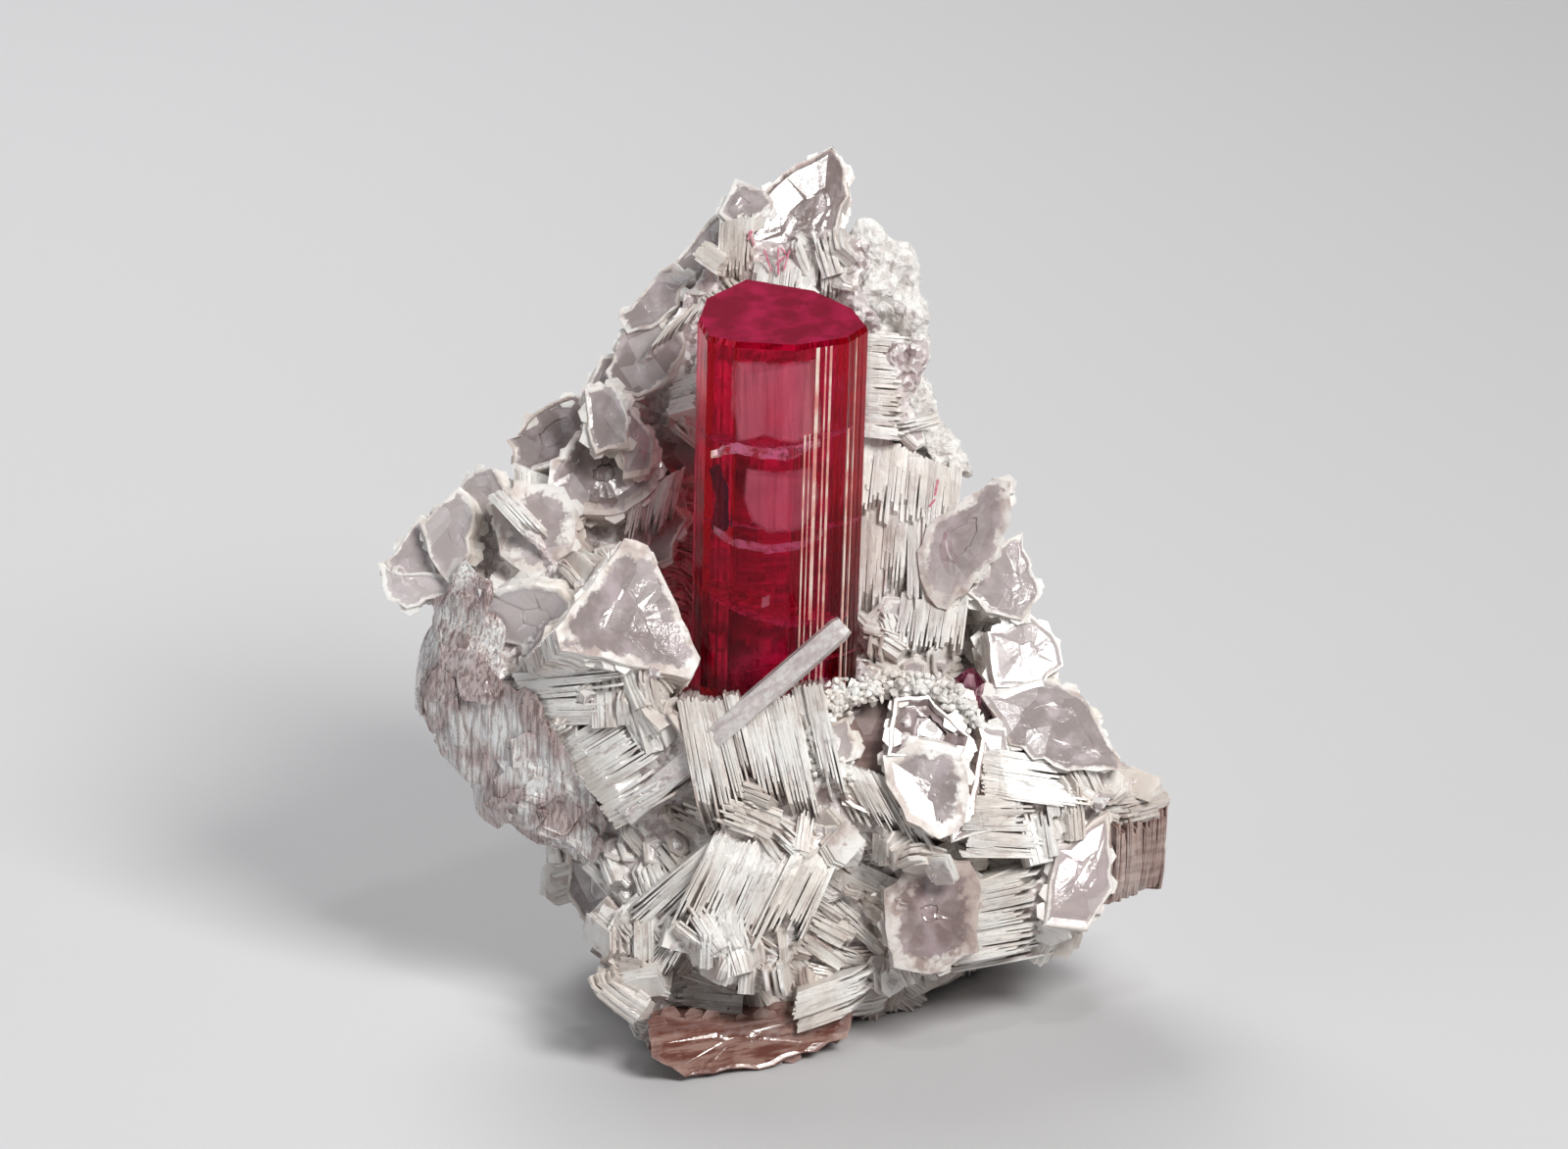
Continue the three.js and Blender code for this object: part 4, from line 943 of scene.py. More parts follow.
# The books and fans, zone by zone
zones = {
    "crown": {
        "books": [
            {"face": [(-2.6, 55.2), (0.7, 58.2), (4.1, 60.2), (5.1, 58.8), (5.2, 56.8), (4.3, 54.3),
             (3.5, 52.2), (0.7, 50.6), (-2.3, 51.6)], "near": 4.2, "slope": (-0.35, -0.1),
             "back": (0.4, -1.8, -5.5), "taper": 0.82, "tone": 1.0},
            {"face": [(-3.9, 55.4), (-2.8, 57.8), (-0.8, 56.8), (0.1, 56.1), (-1.9, 54.2), (-3.3, 54.6)],
             "near": 5.4, "slope": (0.3, -0.5), "back": (0.2, -2, -4.5)},
            {"face": [(-7.5, 51.7), (-3.9, 55.7), (-2.8, 54.7), (-2.7, 51.6), (-3.9, 50.2), (-6.3, 50)],
             "near": 3.6, "slope": (0.35, -0.1), "back": (1.2, -1.6, -4.5), "taper": 0.85, "tone": 0.7},
            {"face": [(-11.1, 48.1), (-7.3, 51.8), (-5.8, 50.9), (-6.8, 48.8), (-8.9, 47.3), (-10.5, 46.9)],
             "near": 4.4, "slope": (0.3, -0.2), "back": (1.6, -1.8, -5.5), "taper": 0.85, "tone": 0.7},
            {"face": [(-12, 44.2), (-10.6, 47.1), (-8.8, 47.8), (-6.8, 47.3), (-6.1, 46), (-7.5, 43.7),
             (-9.6, 42.4), (-11.6, 42.6)], "near": 5, "slope": (0.25, -0.35), "back": (1.5, -1.5, -6),
             "taper": 0.85, "tone": 0.8},
            {"face": [(-9.6, 42.8), (-7.2, 46.6), (-4.3, 48.6), (-3.2, 46), (-3.6, 37), (-6.8, 36),
             (-9.6, 39)], "near": 3.6, "slope": (-0.12, 0.05), "back": (1, -1, -5), "tone": 0.7},
            {"face": [(-13.6, 42.4), (-12.4, 45.2), (-10.4, 45.4), (-10.3, 42.9)], "near": 3.2,
             "slope": (0.2, 0), "back": (1.5, -1.5, -4), "tone": 0.5},
        ],
        "fans": [
            {"from": (-3.9, 54.6, 5.2), "to": (-1.6, 55, 5.6), "along": (-0.3, -6.2, 0.4),
             "deep": (0.2, 0, -3), "count": 9},
            {"from": (-7.6, 47.4, 5.2), "to": (-3.2, 50.6, 4.6), "along": (-2.4, -3.2, 0.6),
             "deep": (0, -0.5, -3), "count": 18},
            {"from": (-1.4, 51.6, 5.6), "to": (2.8, 51.6, 5.8), "along": (-0.6, -4.4, 0.8)},
            {"from": (2.6, 53.6, 5.2), "to": (5.6, 52.4, 5.4), "along": (-0.4, -6, 0.4), "count": 12},
        ],
    },
    "upperLeft": {
        "books": [
            {"face": [(-19.1, 39.3), (-17, 41.2), (-14, 42.6), (-12.9, 41.8), (-13.2, 39.6), (-15.4, 37.6),
             (-17.5, 36.9), (-18.6, 37.6)], "near": 5, "slope": (0.25, -0.3), "back": (2, -2.6, -6),
             "taper": 0.75, "tone": 0.9, "sunk": 0.35},
            {"face": [(-15.8, 37.8), (-14, 39.7), (-10.5, 40.4), (-8.4, 39.3), (-8.1, 36.9), (-9.2, 35),
             (-11.5, 33.8), (-14.5, 34), (-16.2, 35.6)], "near": 8, "slope": (-0.1, -0.35),
             "back": (1.4, -3, -7), "taper": 0.8, "tone": 1, "sunk": 0.5, "rim": 0.7},
            {"face": [(-13.3, 42.8), (-11.5, 43.3), (-10.5, 41.1), (-10.2, 38.6), (-12.6, 38.2),
             (-13.2, 39.7)], "near": 9.8, "slope": (0.1, -0.3), "back": (0.2, -0.6, -4.5), "taper": 0.95,
             "tone": 0.7},
            {"face": [(-10.6, 42.4), (-9.3, 40.4), (-8.4, 39.2), (-8.8, 36.7), (-10.4, 36.3),
             (-10.9, 38.6)], "near": 9, "slope": (-0.3, 0), "back": (-0.3, -0.8, -4.5)},
            {"face": [(-14.4, 33.8), (-7.4, 35.6), (-6.2, 33.6), (-7.4, 30.8), (-9.8, 29.6), (-12.4, 31.8)],
             "near": 6.4, "slope": (0.1, -0.4), "back": (0.5, 0, -6), "taper": 0.8, "tone": 0.8},
        ],
        "fans": [
            {"from": (-10.2, 34.6, 8.2), "to": (-6.6, 36.6, 6.4), "along": (-1.2, -5.6, -0.6)},
            {"from": (-18.6, 37.4, 6), "to": (-16, 36.4, 6.6), "along": (0.2, -2.6, 0.5),
             "deep": (0.4, 0, -3), "count": 12},
        ],
    },
    "farLeft": {
        "books": [
            {"face": [(-27.6, 30.6), (-25.2, 33.6), (-23.6, 32.7), (-24.2, 29), (-27, 29)], "near": 7,
             "slope": (0.3, -0.35), "back": (2.6, 0, -5), "taper": 0.8, "tone": 0.4},
            {"face": [(-25.2, 33.4), (-22.4, 35.6), (-21.1, 34.1), (-21.6, 31.1), (-23, 29), (-24.6, 31)],
             "near": 8.2, "slope": (0.3, -0.3), "back": (2.4, -0.4, -5), "taper": 0.8, "tone": 0.4},
            {"face": [(-28.1, 30.5), (-27, 29.9), (-23, 29.3), (-22.6, 28.3), (-26.1, 27.2), (-27.5, 27.9)],
             "near": 8, "slope": (0.2, -0.4), "back": (3, 0.6, -4.5), "taper": 0.8, "tone": 0.1},
            {"face": [(-22.2, 36.2), (-21.4, 37.3), (-20, 37.3), (-19.3, 36), (-18.6, 33), (-19.4, 29.4),
             (-22.3, 30.2)], "near": 7, "slope": (0.5, 0.1), "back": (1.6, -0.8, -3.6), "tone": 0.5},
            {"face": [(-20, 34.6), (-18.4, 36), (-15, 35.7), (-13.8, 34), (-14.2, 31.3), (-17, 29.3),
             (-19.5, 31)], "near": 9.6, "slope": (0.15, -0.35), "back": (1.5, -1, -7), "taper": 0.85,
             "rim": 0.9},
        ],
        "fans": [
            {"from": (-20.2, 35, 10.4), "to": (-19, 35.6, 10.2), "along": (4.6, -5, 1),
             "deep": (0.5, -0.5, -3), "count": 5},
        ],
    },
    "left": {
        "books": [
            {"face": [(-10.4, 32.1), (-8.9, 31.7), (-5.2, 23.9), (-5.9, 22.3), (-14.9, 24.5),
             (-15.2, 25.6)], "near": 16.4, "slope": (-0.5, -0.16), "back": (-3.6, -3.6, -9), "taper": 1.02,
             "tone": 0.75, "rim": 0.6, "step": 0.03, "sunk": 0.12},
            {"face": [(-20.8, 28.6), (-15, 28.6), (-13, 25), (-16, 24.3), (-20.3, 25)], "near": 12,
             "slope": (0.3, 0.3), "back": (2.6, 3.4, -8), "taper": 0.95, "tone": 0.2},
        ],
        "fans": [
            {"from": (-17.6, 22.6, 13.2), "to": (-16.4, 19, 12.6), "along": (10.6, 0.6, 3.6),
             "deep": (0.4, 0.6, -6)},
            {"from": (-17.6, 12, 9.6), "to": (-13.6, 11, 9.6), "along": (3.6, 4.4, 1.4),
             "deep": (0.3, 0.6, -5)},
        ],
    },
    "rightWall": {
        "books": [
            {"face": [(10.2, 31.3), (10.9, 33), (14, 35.1), (15.6, 36.5), (16.8, 36.3), (16.9, 34.2),
             (15.8, 31.3), (13.7, 28.4), (11.5, 27.2), (10.4, 29.2)], "near": 7.2, "slope": (0.25, -0.2),
             "back": (-1, -1.6, -6), "taper": 0.85, "rim": 0.7, "sunk": 0.25},
            {"face": [(13.8, 28.4), (15.4, 31.4), (17.5, 32.4), (18.6, 29.9), (19, 28.1), (17.5, 26.5),
             (15, 27)], "near": 7, "slope": (0, -0.3), "back": (-1.2, -1.6, -6), "taper": 0.85,
             "tone": 0.5},
            {"face": [(15.2, 25.6), (18.2, 26.7), (20.4, 24.6), (20.6, 23.2), (18.9, 21.4), (15.6, 21.8)],
             "near": 8, "slope": (-0.2, -0.3), "back": (-1.5, -1, -6), "tone": 0.4},
            {"face": [(14.6, 21.2), (18.9, 22.1), (21.7, 21.2), (23.5, 18.4), (24.6, 15.8), (20.7, 15.8),
             (16.6, 17.8)], "near": 10, "slope": (-0.15, -0.55), "back": (-1, 0.4, -7), "tone": 0.7},
        ],
        "fans": [
            {"from": (6.6, 47, 4.4), "to": (6.4, 39.6, 5), "along": (4.4, -0.4, -0.4), "count": 26,
             "ragged": 0.1},
            {"from": (5.4, 40.4, 3.8), "to": (13.2, 36.6, 4.6), "along": (-0.8, -8.6, 1.6), "count": 30,
             "relief": 0.5, "tone": 0.1},
            {"from": (5.8, 33.8, 4.4), "to": (10.6, 33.8, 5.0), "along": (-0.6, -11.6, 2.8), "count": 20,
             "relief": 0.6, "tone": 0.1},
            {"from": (9, 27.8, 6), "to": (13.6, 27.4, 6.6), "along": (-1, -6, 2.4), "deep": (0, 0.4, -4),
             "count": 20, "relief": 0.6, "tone": 0.1},
        ],
    },
    "pocket": {
        "books": [
            {"face": [(2.3, 16.5), (3, 19.2), (5.2, 21.3), (8, 21.9), (11.5, 22), (14.2, 21), (14.8, 18),
             (14, 13), (12, 11.5), (9, 12.4), (5.5, 13.2)], "near": 14.4, "slope": (-0.2, -0.25),
             "back": (0, -1.4, -7), "taper": 0.95, "tone": 1, "rim": 0.5, "sunk": 1.4, "stain": 0.4},
            {"face": [(7.9, 17), (8.4, 20.8), (10.9, 21.2), (13.9, 18), (13.2, 16.6)], "near": 15.4,
             "slope": (-0.25, -0.3), "back": (0, 0, -4), "taper": 0.95, "tone": 1, "rim": 0.35, "sunk": 0.8,
             "stain": 0.15},
            {"face": [(7.6, 17), (10.2, 18), (13, 17.4), (13.9, 15.2), (13.4, 12.3), (11.6, 11.2),
             (9.3, 12.4), (8, 15)], "near": 16.6, "slope": (-0.1, -0.2), "back": (-0.3, 0.6, -5),
             "taper": 0.85, "tone": 0.8, "rim": 1.1, "sunk": 0.45, "terraces": 0},
            {"face": [(2.5, 19), (5.2, 19.6), (5.8, 16.6), (2.7, 16.1)], "near": 15.6, "slope": (0, -0.3),
             "back": (0, 0.4, -5), "taper": 0.95, "tone": 0.5},
            {"face": [(14.2, 19.6), (16.4, 18.8), (17, 14.6), (14.8, 12.4), (13.4, 15)], "near": 11.6,
             "slope": (-0.2, -0.2), "back": (0, 0, -5), "tone": 0.5},
        ],
        "fans": [
            {"from": (3, 16.8, 15.2), "to": (8.6, 14.6, 15.4), "along": (4.2, -7.6, -0.6),
             "deep": (0, 0.5, -6), "count": 26, "ragged": 0.3},
        ],
    },
    "front": {
        "books": [
            {"face": [(-14.6, 9.6), (-12, 10.3), (-8.6, 9), (-9, 5), (-13.3, 4.4), (-14.7, 6.8)],
             "near": 6.4, "slope": (0.3, -0.2), "back": (1.5, 0, -7), "tone": 0.7},
            {"face": [(-8.7, -2.2), (5.4, -1.2), (5, -3), (0, -4.9), (-6.3, -5.5), (-8.5, -4)], "near": 15,
             "slope": (-0.4, 0), "back": (0.6, 3.4, -12), "taper": 0.95, "stain": 1},
        ],
        "fans": [
            {"from": (-15.4, 17.6, 12.6), "to": (-10.6, 12.2, 13.4), "along": (7.4, 4.6, 2.2),
             "deep": (0.4, 0.6, -6), "count": 26},
            {"from": (-6.6, 19.6, 15.6), "to": (3.4, 21, 15.4), "along": (2.6, -11.6, 1.6),
             "deep": (0.2, 0.6, -6), "count": 46},
            {"from": (-4.6, 10.6, 17.4), "to": (4.2, 9.4, 16.6), "along": (-4.6, -9.6, 0.2),
             "deep": (0.4, 0.8, -7), "count": 38},
            {"from": (-5.2, 10.4, 16.8), "to": (-4.6, 6.4, 16.2), "along": (-9.2, -7.2, -2.6),
             "deep": (0.6, 0.8, -6), "count": 20, "fan": (3.4, -2.2, 1.4)},
            {"from": (2.2, 0.4, 14), "to": (2, -2.4, 13.6), "along": (7.6, 2.4, -3), "deep": (0, 0.5, -6),
             "count": 12},
        ],
    },
    "footRight": {
        "books": [
            {"face": [(7.8, 7.5), (9.4, 9), (13.7, 9.3), (14.5, 7.5), (14.1, 3.2), (10.9, 1.5), (8.6, 2.1),
             (7.8, 4.7)], "near": 14.4, "slope": (0.1, -0.1), "back": (0.4, 0.8, -8), "tone": 0.9,
             "rim": 1.0, "sunk": 0.3, "stain": 0.25},
            {"face": [(12, 14.4), (15.8, 16), (18.4, 14.8), (16, 12), (12.4, 10.8)], "near": 12.4,
             "slope": (0, -0.3), "back": (0, 0, -6)},
            {"face": [(20, 10.6), (23.6, 12.6), (24, 7.4), (22, 4.6), (19, 5)], "near": 10.8,
             "slope": (-0.3, -0.1), "back": (-1, 0, -7), "tone": 0.3, "stain": 0.2},
        ],
        "fans": [
            {"from": (15, 17.4, 10.8), "to": (15.6, 14, 12), "along": (11, -1.6, -2),
             "deep": (-0.4, 0.5, -6), "count": 15, "relief": 0.6, "tone": 0.1},
            {"from": (13.8, 14, 12.4), "to": (14, 9.8, 12.6), "along": (9.6, -0.4, -2.6),
             "deep": (-0.4, 0.5, -7), "count": 18, "relief": 0.6, "tone": 0.1},
            {"from": (14, 8, 12.6), "to": (13.6, 2.4, 11.4), "along": (8.6, 1.4, -2.6),
             "deep": (-0.4, 0.8, -7), "count": 24, "relief": 0.6, "tone": 0.1},
            {"from": (12.6, 3, 9.6), "to": (13.2, 1.6, 9), "along": (11, 2.2, -2), "deep": (-0.6, 0.8, -6),
             "count": 8},
            {"from": (23.2, 6.2, 8.0), "to": (27.7, 8.0, 6.2), "along": (0.3, 8.6, 0.2),
             "deep": (-3.4, 0, -6), "count": 26, "relief": 0.4, "ragged": 0.14, "tone": 1, "stain": 0.75},
        ],
    },
}

zonePieces = []
for zone, things in zones.items():
    pieces = [makeBook(spec) for spec in things["books"]]
    for spec in things["fans"]:
        pieces += makeFan(spec)
    zonePiece = joined(pieces, f"{zone}Mica", micaMaterial)
    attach(zonePiece, "root")
    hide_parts("lepidolite_matrix")
    zonePieces.append(zonePiece)
    print("mica of the", zone, len(zonePiece.data.polygons))

flakesPiece = repeated(flakePlacings, "frayedEdges", micaMaterial)
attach(flakesPiece, "root")
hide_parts("lepidolite_matrix")
print("frayed edges", len(flakePlacings))


# The core: the rock under the books, a rougher and slightly smaller copy of the whole matrix
def looseCopy(node):                    # a copy of one of the frame's nodes, with its split corners merged
    deselectAll()
    piece = node.copy()
    piece.data = node.data.copy()
    piece.parent = None
    for key in list(piece.keys()):
        del piece[key]
    bpy.context.scene.collection.objects.link(piece)
    piece.hide_viewport = False
    piece.hide_render = False
    piece.hide_set(False)
    piece.select_set(True)
    bpy.context.view_layer.objects.active = piece
    editAll()
    bpy.ops.mesh.remove_doubles(threshold=1e-6)
    bpy.ops.object.mode_set(mode="OBJECT")
    return piece


def remeshed(piece, size):
    remesh = piece.modifiers.new("remesh", "REMESH")
    remesh.mode = "VOXEL"
    remesh.voxel_size = size * mm
    bpy.ops.object.modifier_apply(modifier="remesh")


def lumpy(piece, name, size, strength, middle):
    cloud = bpy.data.textures.new(name, "CLOUDS")
    cloud.noise_scale = size * mm
    lumps = piece.modifiers.new(name, "DISPLACE")
    lumps.texture = cloud
    lumps.texture_coords = "LOCAL"
    lumps.strength = strength * mm
    lumps.mid_level = middle
    bpy.ops.object.modifier_apply(modifier=name)


core = {"voxel": 0.45, "inset": 1.2, "grain": (1.1, 0.5, 0.5)}


def makeCore():
    piece = looseCopy(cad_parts["lepidolite_matrix"])
    remeshed(piece, core["voxel"])
    shrink = piece.modifiers.new("shrink", "DISPLACE")
    shrink.strength = -core["inset"] * mm
    shrink.mid_level = 0
    bpy.ops.object.modifier_apply(modifier="shrink")
    remeshed(piece, core["voxel"])
    lumpy(piece, "coreGrain", *core["grain"])
    return joined([piece], "rockCore", crushedMaterial)


corePiece = makeCore()
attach(corePiece, "root")
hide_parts("lepidolite_matrix")
print("core", len(corePiece.data.polygons))


# The white crust of albite: its solid, softened and then made lumpy
crust = {"voxel": 0.30, "soften": 0.6, "rounds": 6, "lumps": (1.5, 1.2, 0.6), "grain": (0.5, 0.4, 0.6)}


def makeCrust():
    piece = looseCopy(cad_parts["albite_crust"])
    remeshed(piece, crust["voxel"])
    soften = piece.modifiers.new("soften", "SMOOTH")
    soften.factor = crust["soften"]
    soften.iterations = crust["rounds"]
    bpy.ops.object.modifier_apply(modifier="soften")
    lumpy(piece, "crustLumps", *crust["lumps"])
    lumpy(piece, "crustGrain", *crust["grain"])
    return joined([piece], "albiteCrust", albiteMaterial)


crustPiece = makeCrust()
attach(crustPiece, "root")
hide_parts("albite_crust")
print("albite crust", len(crustPiece.data.polygons))

# Where the silvery lobe lies, and how its sheets are cut and laid
lobe = {
    "outline": [(-21.7, 29), (-24.3, 25.5), (-25.2, 22.4), (-24, 19.6), (-22.6, 16.6), (-20.8, 14),
                (-18.7, 12.4), (-17.5, 10.5), (-15.4, 10.1), (-13.8, 12.6), (-14.7, 15), (-14.2, 16.8),
                (-17, 18.9), (-19.4, 19.9), (-20.5, 22), (-20.5, 25.2), (-21, 27.8)],
    "sheets": 64, "thick": 0.08, "templates": (3, 5, 8, 13), "rows": (6, 9), "ragged": 0.035,
    "across": (-25.5, -13.5), "up": (10, 29), "wide": (2.4, 4.2), "tall": (4.5, 7.5), "lift": (-0.10, 0.15),
    "tilt": (0.05, 0.22), "wave": 0.16, "hug": 0.75,
}


def isInside(outline, across, up):
    inside = False
    for (a, b), (c, d) in zip(outline, outline[1:] + outline[:1]):
        if (b > up) != (d > up) and across < a + (up - b) * (c - a) / (d - b):
            inside = not inside
    return inside


# The pale lath that lies across the foot of the crystal
lath = {"top": (4.9, 26.1, 18.2), "foot": (-10.6, 12.6, 13.0), "thick": 1.8, "deep": 2.8, "furrow": 0.06,
        "outline": [(-1, -0.5), (-0.4, -1), (0.7, -1), (1, -0.3), (0.8, 0.9), (-0.7, 1)], "narrow": 0.8,
        "tip": 0.6, "tipWider": 1.22, "widening": 0.16, "steps": 12, "ragged": 0.10, "uneven": 0.03}


def makeLath():
    top, foot = placed(lath["top"]), placed(lath["foot"])
    run = (foot - top).normalized()
    across = run.cross(nearWay).normalized()
    half = (lath["thick"] / 2 * mm, lath["deep"] / 2 * mm)
    points = []
    corners = lath["outline"]
    for k, (x, y) in enumerate(corners):
        u, v = corners[(k + 1) % len(corners)]
        points += [(x + (u - x) * part / 3, y + (v - y) * part / 3) for part in range(3)]
    piece = flatFace(len(points), mm)
    for k, (vertex, (x, y)) in enumerate(zip(piece.data.vertices, points)):
        furrow = 1 - lath["furrow"] * (k % 3 == 1)
        vertex.co = top + (across * x * half[0] + nearWay * y * half[1]) * lath["narrow"] * furrow
    editAll()
    roughen(lath["ragged"] * mm, 4)
    steps, tip = lath["steps"], lath["tip"] * mm
    rest = (foot - top).length - tip
    for k in range(steps):
        extrude(run * (tip if k == 0 else rest / (steps - 1)))
        size = lath["tipWider"] if k == 0 else 1 + lath["widening"] / steps
        resize([size] * 3, top + run * (tip + k * rest / (steps - 1)))
        roughen(lath["uneven"] * mm, k)
    finishEdit()
    spread = [(vertex.co - top).dot(across + nearWay * 0.6) for vertex in piece.data.vertices]
    markMica(piece.data, lamina=np.array(spread) / mm)
    return joined([piece], "paleLath", lathMaterial)


lathPiece = makeLath()
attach(lathPiece, "root")
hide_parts("lepidolite_matrix")
print("pale lath")


# Tufts and piles of small plates all over the rock, except where they would hide a book's face
scatter = {
    "tries": 9000, "apart": 1.15, "overFloor": 0.5, "free": 2, "piles": 0.3, "pileSize": (0.5, 1.3),
    "tuftSize": (0.8, 1.7), "offFaces": 0.2, "offCrust": 0.6, "dampUpTo": 9, "flow": 8, "stray": 3,
    "tuftPlates": 8, "tuftReach": 2.0, "pileSlabs": 6,
}


def makeTuft(seed):                     # narrow plates side by side, their front edges outwards along +X
    rnd = random.Random(seed)
    pieces = []
    for k in range(scatter["tuftPlates"]):
        piece = flatFace(6)
        reach = 0.75 + 0.25 * rnd.random() if k % 3 else 0.55 + 0.3 * rnd.random()
        shape = [(-1, 0), (0, 0), (0.05, reach * 0.45), (0, reach * 0.88), (-0.35, reach), (-1, reach * 0.9)]
        for vertex, (x, y) in zip(piece.data.vertices, shape):
            vertex.co = (x + rnd.uniform(-0.03, 0.03), y - 0.5, k / scatter["tuftPlates"] - 0.5)
        editAll()
        lift = 0.06 * rnd.uniform(-1, 1) - 0.06 * abs(k - 3.5) / 3.5
        extrude((0, 0, rnd.uniform(0.12, 0.16)))
        bpy.ops.mesh.select_all(action="SELECT")
        bpy.ops.transform.translate(value=(lift, 0, 0))
        bpy.ops.mesh.normals_make_consistent(inside=False)
        bpy.ops.object.mode_set(mode="OBJECT")
        markMica(piece.data, lamina=k * 0.35)
        pieces.append(piece)
    return joined(pieces, f"tuftTemplate{seed}", None, floor=False)


def makePile(seed):
    rnd = random.Random(seed)
    sides = rnd.choice((6, 6, 7))
    piece = flatFace(sides)
    editAll()
    roughen(0.22, seed)
    resize((1, 1, 0.3))
    size = 1
    for k in range(scatter["pileSlabs"]):
        wanted = 1 - 0.05 * k + rnd.uniform(-0.10, 0.10)
        extrude((rnd.uniform(-0.06, 0.06), 0, 0.2))
        resize((wanted / size, wanted / size, 1))
        size = wanted
    extrude((0, 0, 0))
    resize((0.7, 0.7, 1))
    finishEdit()
    ring = np.arange(len(piece.data.vertices)) // sides
    markMica(piece.data, np.where(ring > scatter["pileSlabs"], 0.35, 1.0), ring * 0.3)
    return piece


def meshTree(objects, keep=lambda mesh, face: True):
    sides = []
    for thing in objects:
        mesh = thing.data
        for face in mesh.polygons:
            if keep(mesh, face):
                corners = [tuple(mesh.vertices[k].co) for k in face.vertices]
                first = corners.index(min(corners))
                sides.append(corners[first:] + corners[:first])
    sides.sort()                        # edit mode leaves faces in an order that changes from run to run
    spots, faces = [], []
    for side in sides:
        faces.append([len(spots) + k for k in range(len(side))])
        spots += side
    return BVHTree.FromPolygons(spots, faces)


def isFace(mesh, face):
    rims = mesh.attributes["rim"].data
    return sum(rims[k].value for k in face.vertices) / len(face.vertices) < 0.85


def makeScatter():
    rnd = random.Random(7)
    shown = meshTree(zonePieces + [crustPiece])
    clean = meshTree(zonePieces, isFace)
    smooth = meshTree([crustPiece, crystalPiece, lathPiece])
    faces = list(corePiece.data.polygons)
    picked = rnd.choices(faces, weights=[face.area for face in faces], k=scatter["tries"])
    placings, taken = [], set()
    for face in picked:
        spot, normal = face.center.copy(), face.normal.copy()
        cell = tuple(int(c / (scatter["apart"] * mm)) for c in spot)
        across, up = spot.x / mm, spot.dot(upWay) / mm
        onLobe = normal.dot(nearWay) > 0 and isInside(lobe["outline"], across, up)
        if cell in taken or spot.z < scatter["overFloor"] * mm or onLobe:
            continue
        if shown.ray_cast(spot + normal * 0.1 * mm, normal, scatter["free"] * mm)[0]:
            continue
        piled = rnd.random() < scatter["piles"]
        radius = mm * rnd.uniform(*scatter["pileSize" if piled else "tuftSize"])
        if clean.find_nearest(spot)[3] < radius + scatter["offFaces"] * mm:
            continue
        if smooth.find_nearest(spot)[3] < radius + scatter["offCrust"] * mm:
            continue
        taken.add(cell)
        flow = noise.noise_vector(spot / (scatter["flow"] * mm)) + Vector((0.3, 0.1, 0.2))
        damp = max(0.0, 1 - spot.z / (scatter["dampUpTo"] * mm)) * 0.5
        own = {"lamina": rnd.uniform(0, 60), "tone": rnd.uniform(0.1, 0.8), "stain": damp * rnd.random()}
        if piled:
            axis = (flow * 2 + normal * rnd.uniform(0.3, 1.2)).normalized()
            side = acrossFrom(axis, rnd)
            height = radius * rnd.uniform(0.4, 0.9)
            origin = spot + normal * rnd.uniform(-0.3, 0.5) * mm - axis * height * 0.5
            longer = rnd.uniform(1, 1.6)
            matrix = spanned(origin, side * radius * longer, axis.cross(side) * radius, axis * height)
            template = pileTemplates[rnd.randrange(len(pileTemplates))]
        else:
            out = (normal + noise.noise_vector(spot / (scatter["stray"] * mm)) * 0.45).normalized()
            axis = (flow - out * flow.dot(out)).normalized()
            axis = Matrix.Rotation(rnd.uniform(-0.25, 0.25), 3, out) @ axis
            along = out.cross(axis)
            wide = radius * rnd.uniform(0.7, 1.2)
            origin = spot + normal * rnd.uniform(0.5, 1.15) * mm
            matrix = spanned(origin, out * scatter["tuftReach"] * mm, along * radius * 2.9, axis * wide)
            template = tuftTemplates[rnd.randrange(len(tuftTemplates))]
        placings.append((template, matrix, own))
    print("tufts and piles", len(placings))
    return placings


ridge = {
    "path": [(5.2, 15.6, 15.6), (3.2, 15.2, 15.4), (2.4, 17, 15.4), (2.7, 19, 15.5), (4.2, 20.8, 15.1),
             (6.6, 21.7, 14.7), (9.4, 22.0, 14.3), (12.2, 21.3, 13.9), (13.9, 19.2, 13.4)],
    "grains": 1500, "loose": 0.42, "ragged": 0.45, "size": (0.12, 0.34), "stretch": (0.6, 1.6),
}


def makeGrain(seed):                    # one angular grain, radius 1
    deselectAll()
    bpy.ops.mesh.primitive_ico_sphere_add(subdivisions=1, radius=1, location=(0, 0, 0))
    piece = bpy.context.object
    editAll()
    roughen(ridge["ragged"], seed)
    bpy.ops.object.mode_set(mode="OBJECT")
    markMica(piece.data)
    piece.name = f"grainTemplate{seed}"
    return piece


grainTemplates = [makeGrain(seed) for seed in (31, 32, 33, 34)]


def makeSugar():                        # sugary white grains along the pocket's ridge
    rnd = random.Random(3)
    placings = []
    for k in range(ridge["grains"]):
        leg = rnd.randrange(len(ridge["path"]) - 1)
        start, end = placed(ridge["path"][leg]), placed(ridge["path"][leg + 1])
        spot = start.lerp(end, rnd.random()) + Vector([rnd.gauss(0, ridge["loose"]) for n in range(3)]) * mm
        radius = mm * rnd.uniform(*ridge["size"])
        axis = Vector([rnd.gauss(0, 1) for n in range(3)]).normalized()
        side = axis.orthogonal().normalized()
        tall = rnd.uniform(*ridge["stretch"])
        matrix = spanned(spot, side * radius, axis.cross(side) * radius, axis * radius * tall)
        placings.append((grainTemplates[rnd.randrange(len(grainTemplates))], matrix, {}))
    return repeated(placings, "sugaryRidge", micaMaterial)


pileTemplates = [makePile(seed) for seed in range(11, 17)]
ridgePiece = makeSugar()
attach(ridgePiece, "root")
print("sugary ridge")

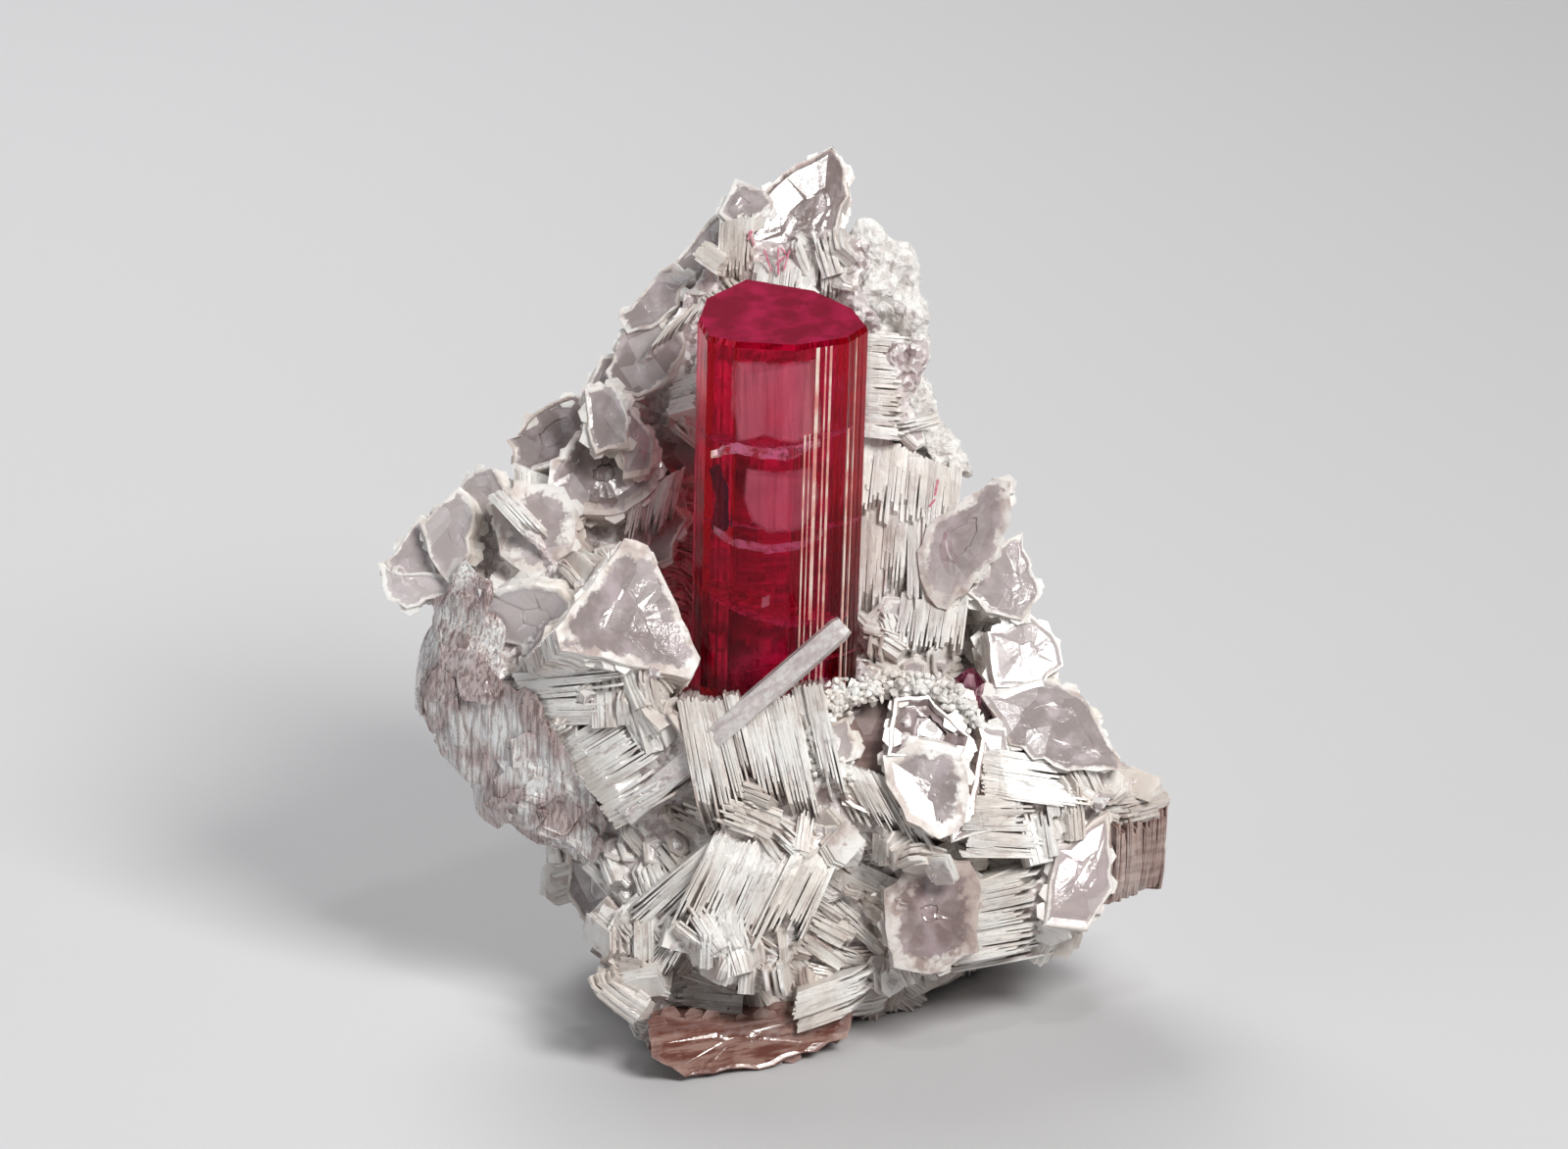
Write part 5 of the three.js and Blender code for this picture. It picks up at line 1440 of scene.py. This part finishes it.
tuftTemplates = [makeTuft(seed) for seed in range(21, 29)]
scattered = makeScatter()
for name, side in (("frontTufts", -1), ("backTufts", 1)):
    ownSide = [item for item in scattered if item[1].translation.y * side > 0]
    tuftsPiece = repeated(ownSide, name, micaMaterial)
    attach(tuftsPiece, "root")
    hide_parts("lepidolite_matrix")
    print(name, sum(len(face.vertices) - 2 for face in tuftsPiece.data.polygons), "triangles")


# The silvery lobe on the left: overlapping crinkled sheets that wrap round it
def makeSheet(seed):
    rnd = random.Random(seed)
    piece = flatGrid(*lobe["rows"])
    bpy.ops.object.mode_set(mode="EDIT")
    for x, y in ((-1, -1), (-1, 1), (1, 1), (1, -1)):
        high = 0.36 + 0.1 * rnd.random()
        cutOff((x * 0.4, y * high, 0), (x * rnd.uniform(0.5, 1.4), y, 0))
    bpy.ops.mesh.select_all(action="SELECT")
    roughen(lobe["ragged"], seed)
    bpy.ops.object.mode_set(mode="OBJECT")
    piece.name = f"sheetTemplate{seed}"
    return piece


def makeLobe():
    rnd = random.Random(23)
    hull = meshTree([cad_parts["lepidolite_matrix"]])
    templates = [makeSheet(seed) for seed in lobe["templates"]]
    pieces = []
    while len(pieces) < lobe["sheets"]:
        k = len(pieces)
        across, up = rnd.uniform(*lobe["across"]), rnd.uniform(*lobe["up"])
        if not isInside(lobe["outline"], across, up):
            continue
        spot, normal = hull.ray_cast(placed((across, up, 60)), -nearWay)[:2]
        if spot is None:
            continue
        bow = max(-0.3, min(1.1, (21 - up) * 0.12)) + rnd.uniform(-0.15, 0.15)
        along = upWay - rightWay * bow
        along = (along - normal * along.dot(normal)).normalized()
        side = along.cross(normal).normalized()
        wide, tall = rnd.uniform(*lobe["wide"]) * mm, rnd.uniform(*lobe["tall"]) * mm
        lift, tilt = rnd.uniform(*lobe["lift"]) * mm, rnd.uniform(*lobe["tilt"]) * mm
        piece = copied(templates[rnd.randrange(len(templates))], Matrix.Identity(4))
        for vertex in piece.data.vertices:
            x, y = vertex.co.x, vertex.co.y
            point = spot + side * x * wide + along * y * tall
            near, out = hull.find_nearest(point)[:2]
            wave = noise.noise(Vector((x * 2.2 + k, y * 1.1, k * 0.7))) * lobe["wave"] * mm
            lifted = out * (lift + tilt * (x + 0.5) + wave)
            vertex.co = near * lobe["hug"] + point * (1 - lobe["hug"]) + lifted
        deselectAll()
        bpy.context.view_layer.objects.active = piece
        solid = piece.modifiers.new("solid", "SOLIDIFY")
        solid.thickness = lobe["thick"] * mm
        solid.offset = 0
        bpy.ops.object.modifier_apply(modifier="solid")
        pieces.append(piece)
    for template in templates:
        bpy.data.objects.remove(template)
    return joined(pieces, "silveryLobe", silveryMaterial)


lobePiece = makeLobe()
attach(lobePiece, "root")
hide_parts("lepidolite_matrix")
print("silvery lobe", len(lobePiece.data.polygons))

# Fine pink needles of the same stone in the crown and on the right
needles = [
    {"at": (0.3, 50.9, 6.9), "way": (0, 1, 0.25), "long": 2.0},
    {"at": (-0.2, 51.2, 6.9), "way": (-0.35, 1, 0.2), "long": 1.7},
    {"at": (0.7, 51.3, 6.9), "way": (0.3, 1, 0.2), "long": 1.5},
    {"at": (0.1, 51.6, 7.0), "way": (0.9, 0.8, 0.2), "long": 0.9},
    {"at": (-1.4, 53.0, 6.6), "way": (-0.4, 1, 0.2), "long": 1.1},
    {"at": (-1.9, 53.4, 6.6), "way": (0.5, 1, 0.3), "long": 0.8},
    {"at": (1.0, 52.2, 6.7), "way": (-0.7, 0.8, 0.3), "long": 0.9},
    {"at": (11.4, 35.2, 7.8), "way": (0.2, 1, 0.1), "long": 1.2},
    {"at": (11.0, 34.4, 7.9), "way": (0.8, 1, 0.1), "long": 0.7},
]
needleShape = {"sides": 6, "radius": 0.09, "tip": 0.1, "narrow": 0.3}


def makeNeedles():
    pieces = []
    for needle in needles:
        piece = flatFace(needleShape["sides"], needleShape["radius"] * mm)
        editAll()
        extrude((0, 0, needle["long"] * (1 - needleShape["tip"]) * mm))
        extrude((0, 0, needle["long"] * needleShape["tip"] * mm))
        resize((needleShape["narrow"], needleShape["narrow"], 1))
        finishEdit()
        turn = placed(needle["way"]).to_track_quat("Z", "Y").to_matrix().to_4x4()
        piece.data.transform(Matrix.Translation(placed(needle["at"])) @ turn)
        pieces.append(piece)
    return joined(pieces, "pinkNeedles", needleMaterial)


needlePiece = makeNeedles()
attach(needlePiece, "root")
print("needles")

for template in plateTemplates + grainTemplates + pileTemplates + tuftTemplates + [flakeTemplate]:
    bpy.data.objects.remove(template)
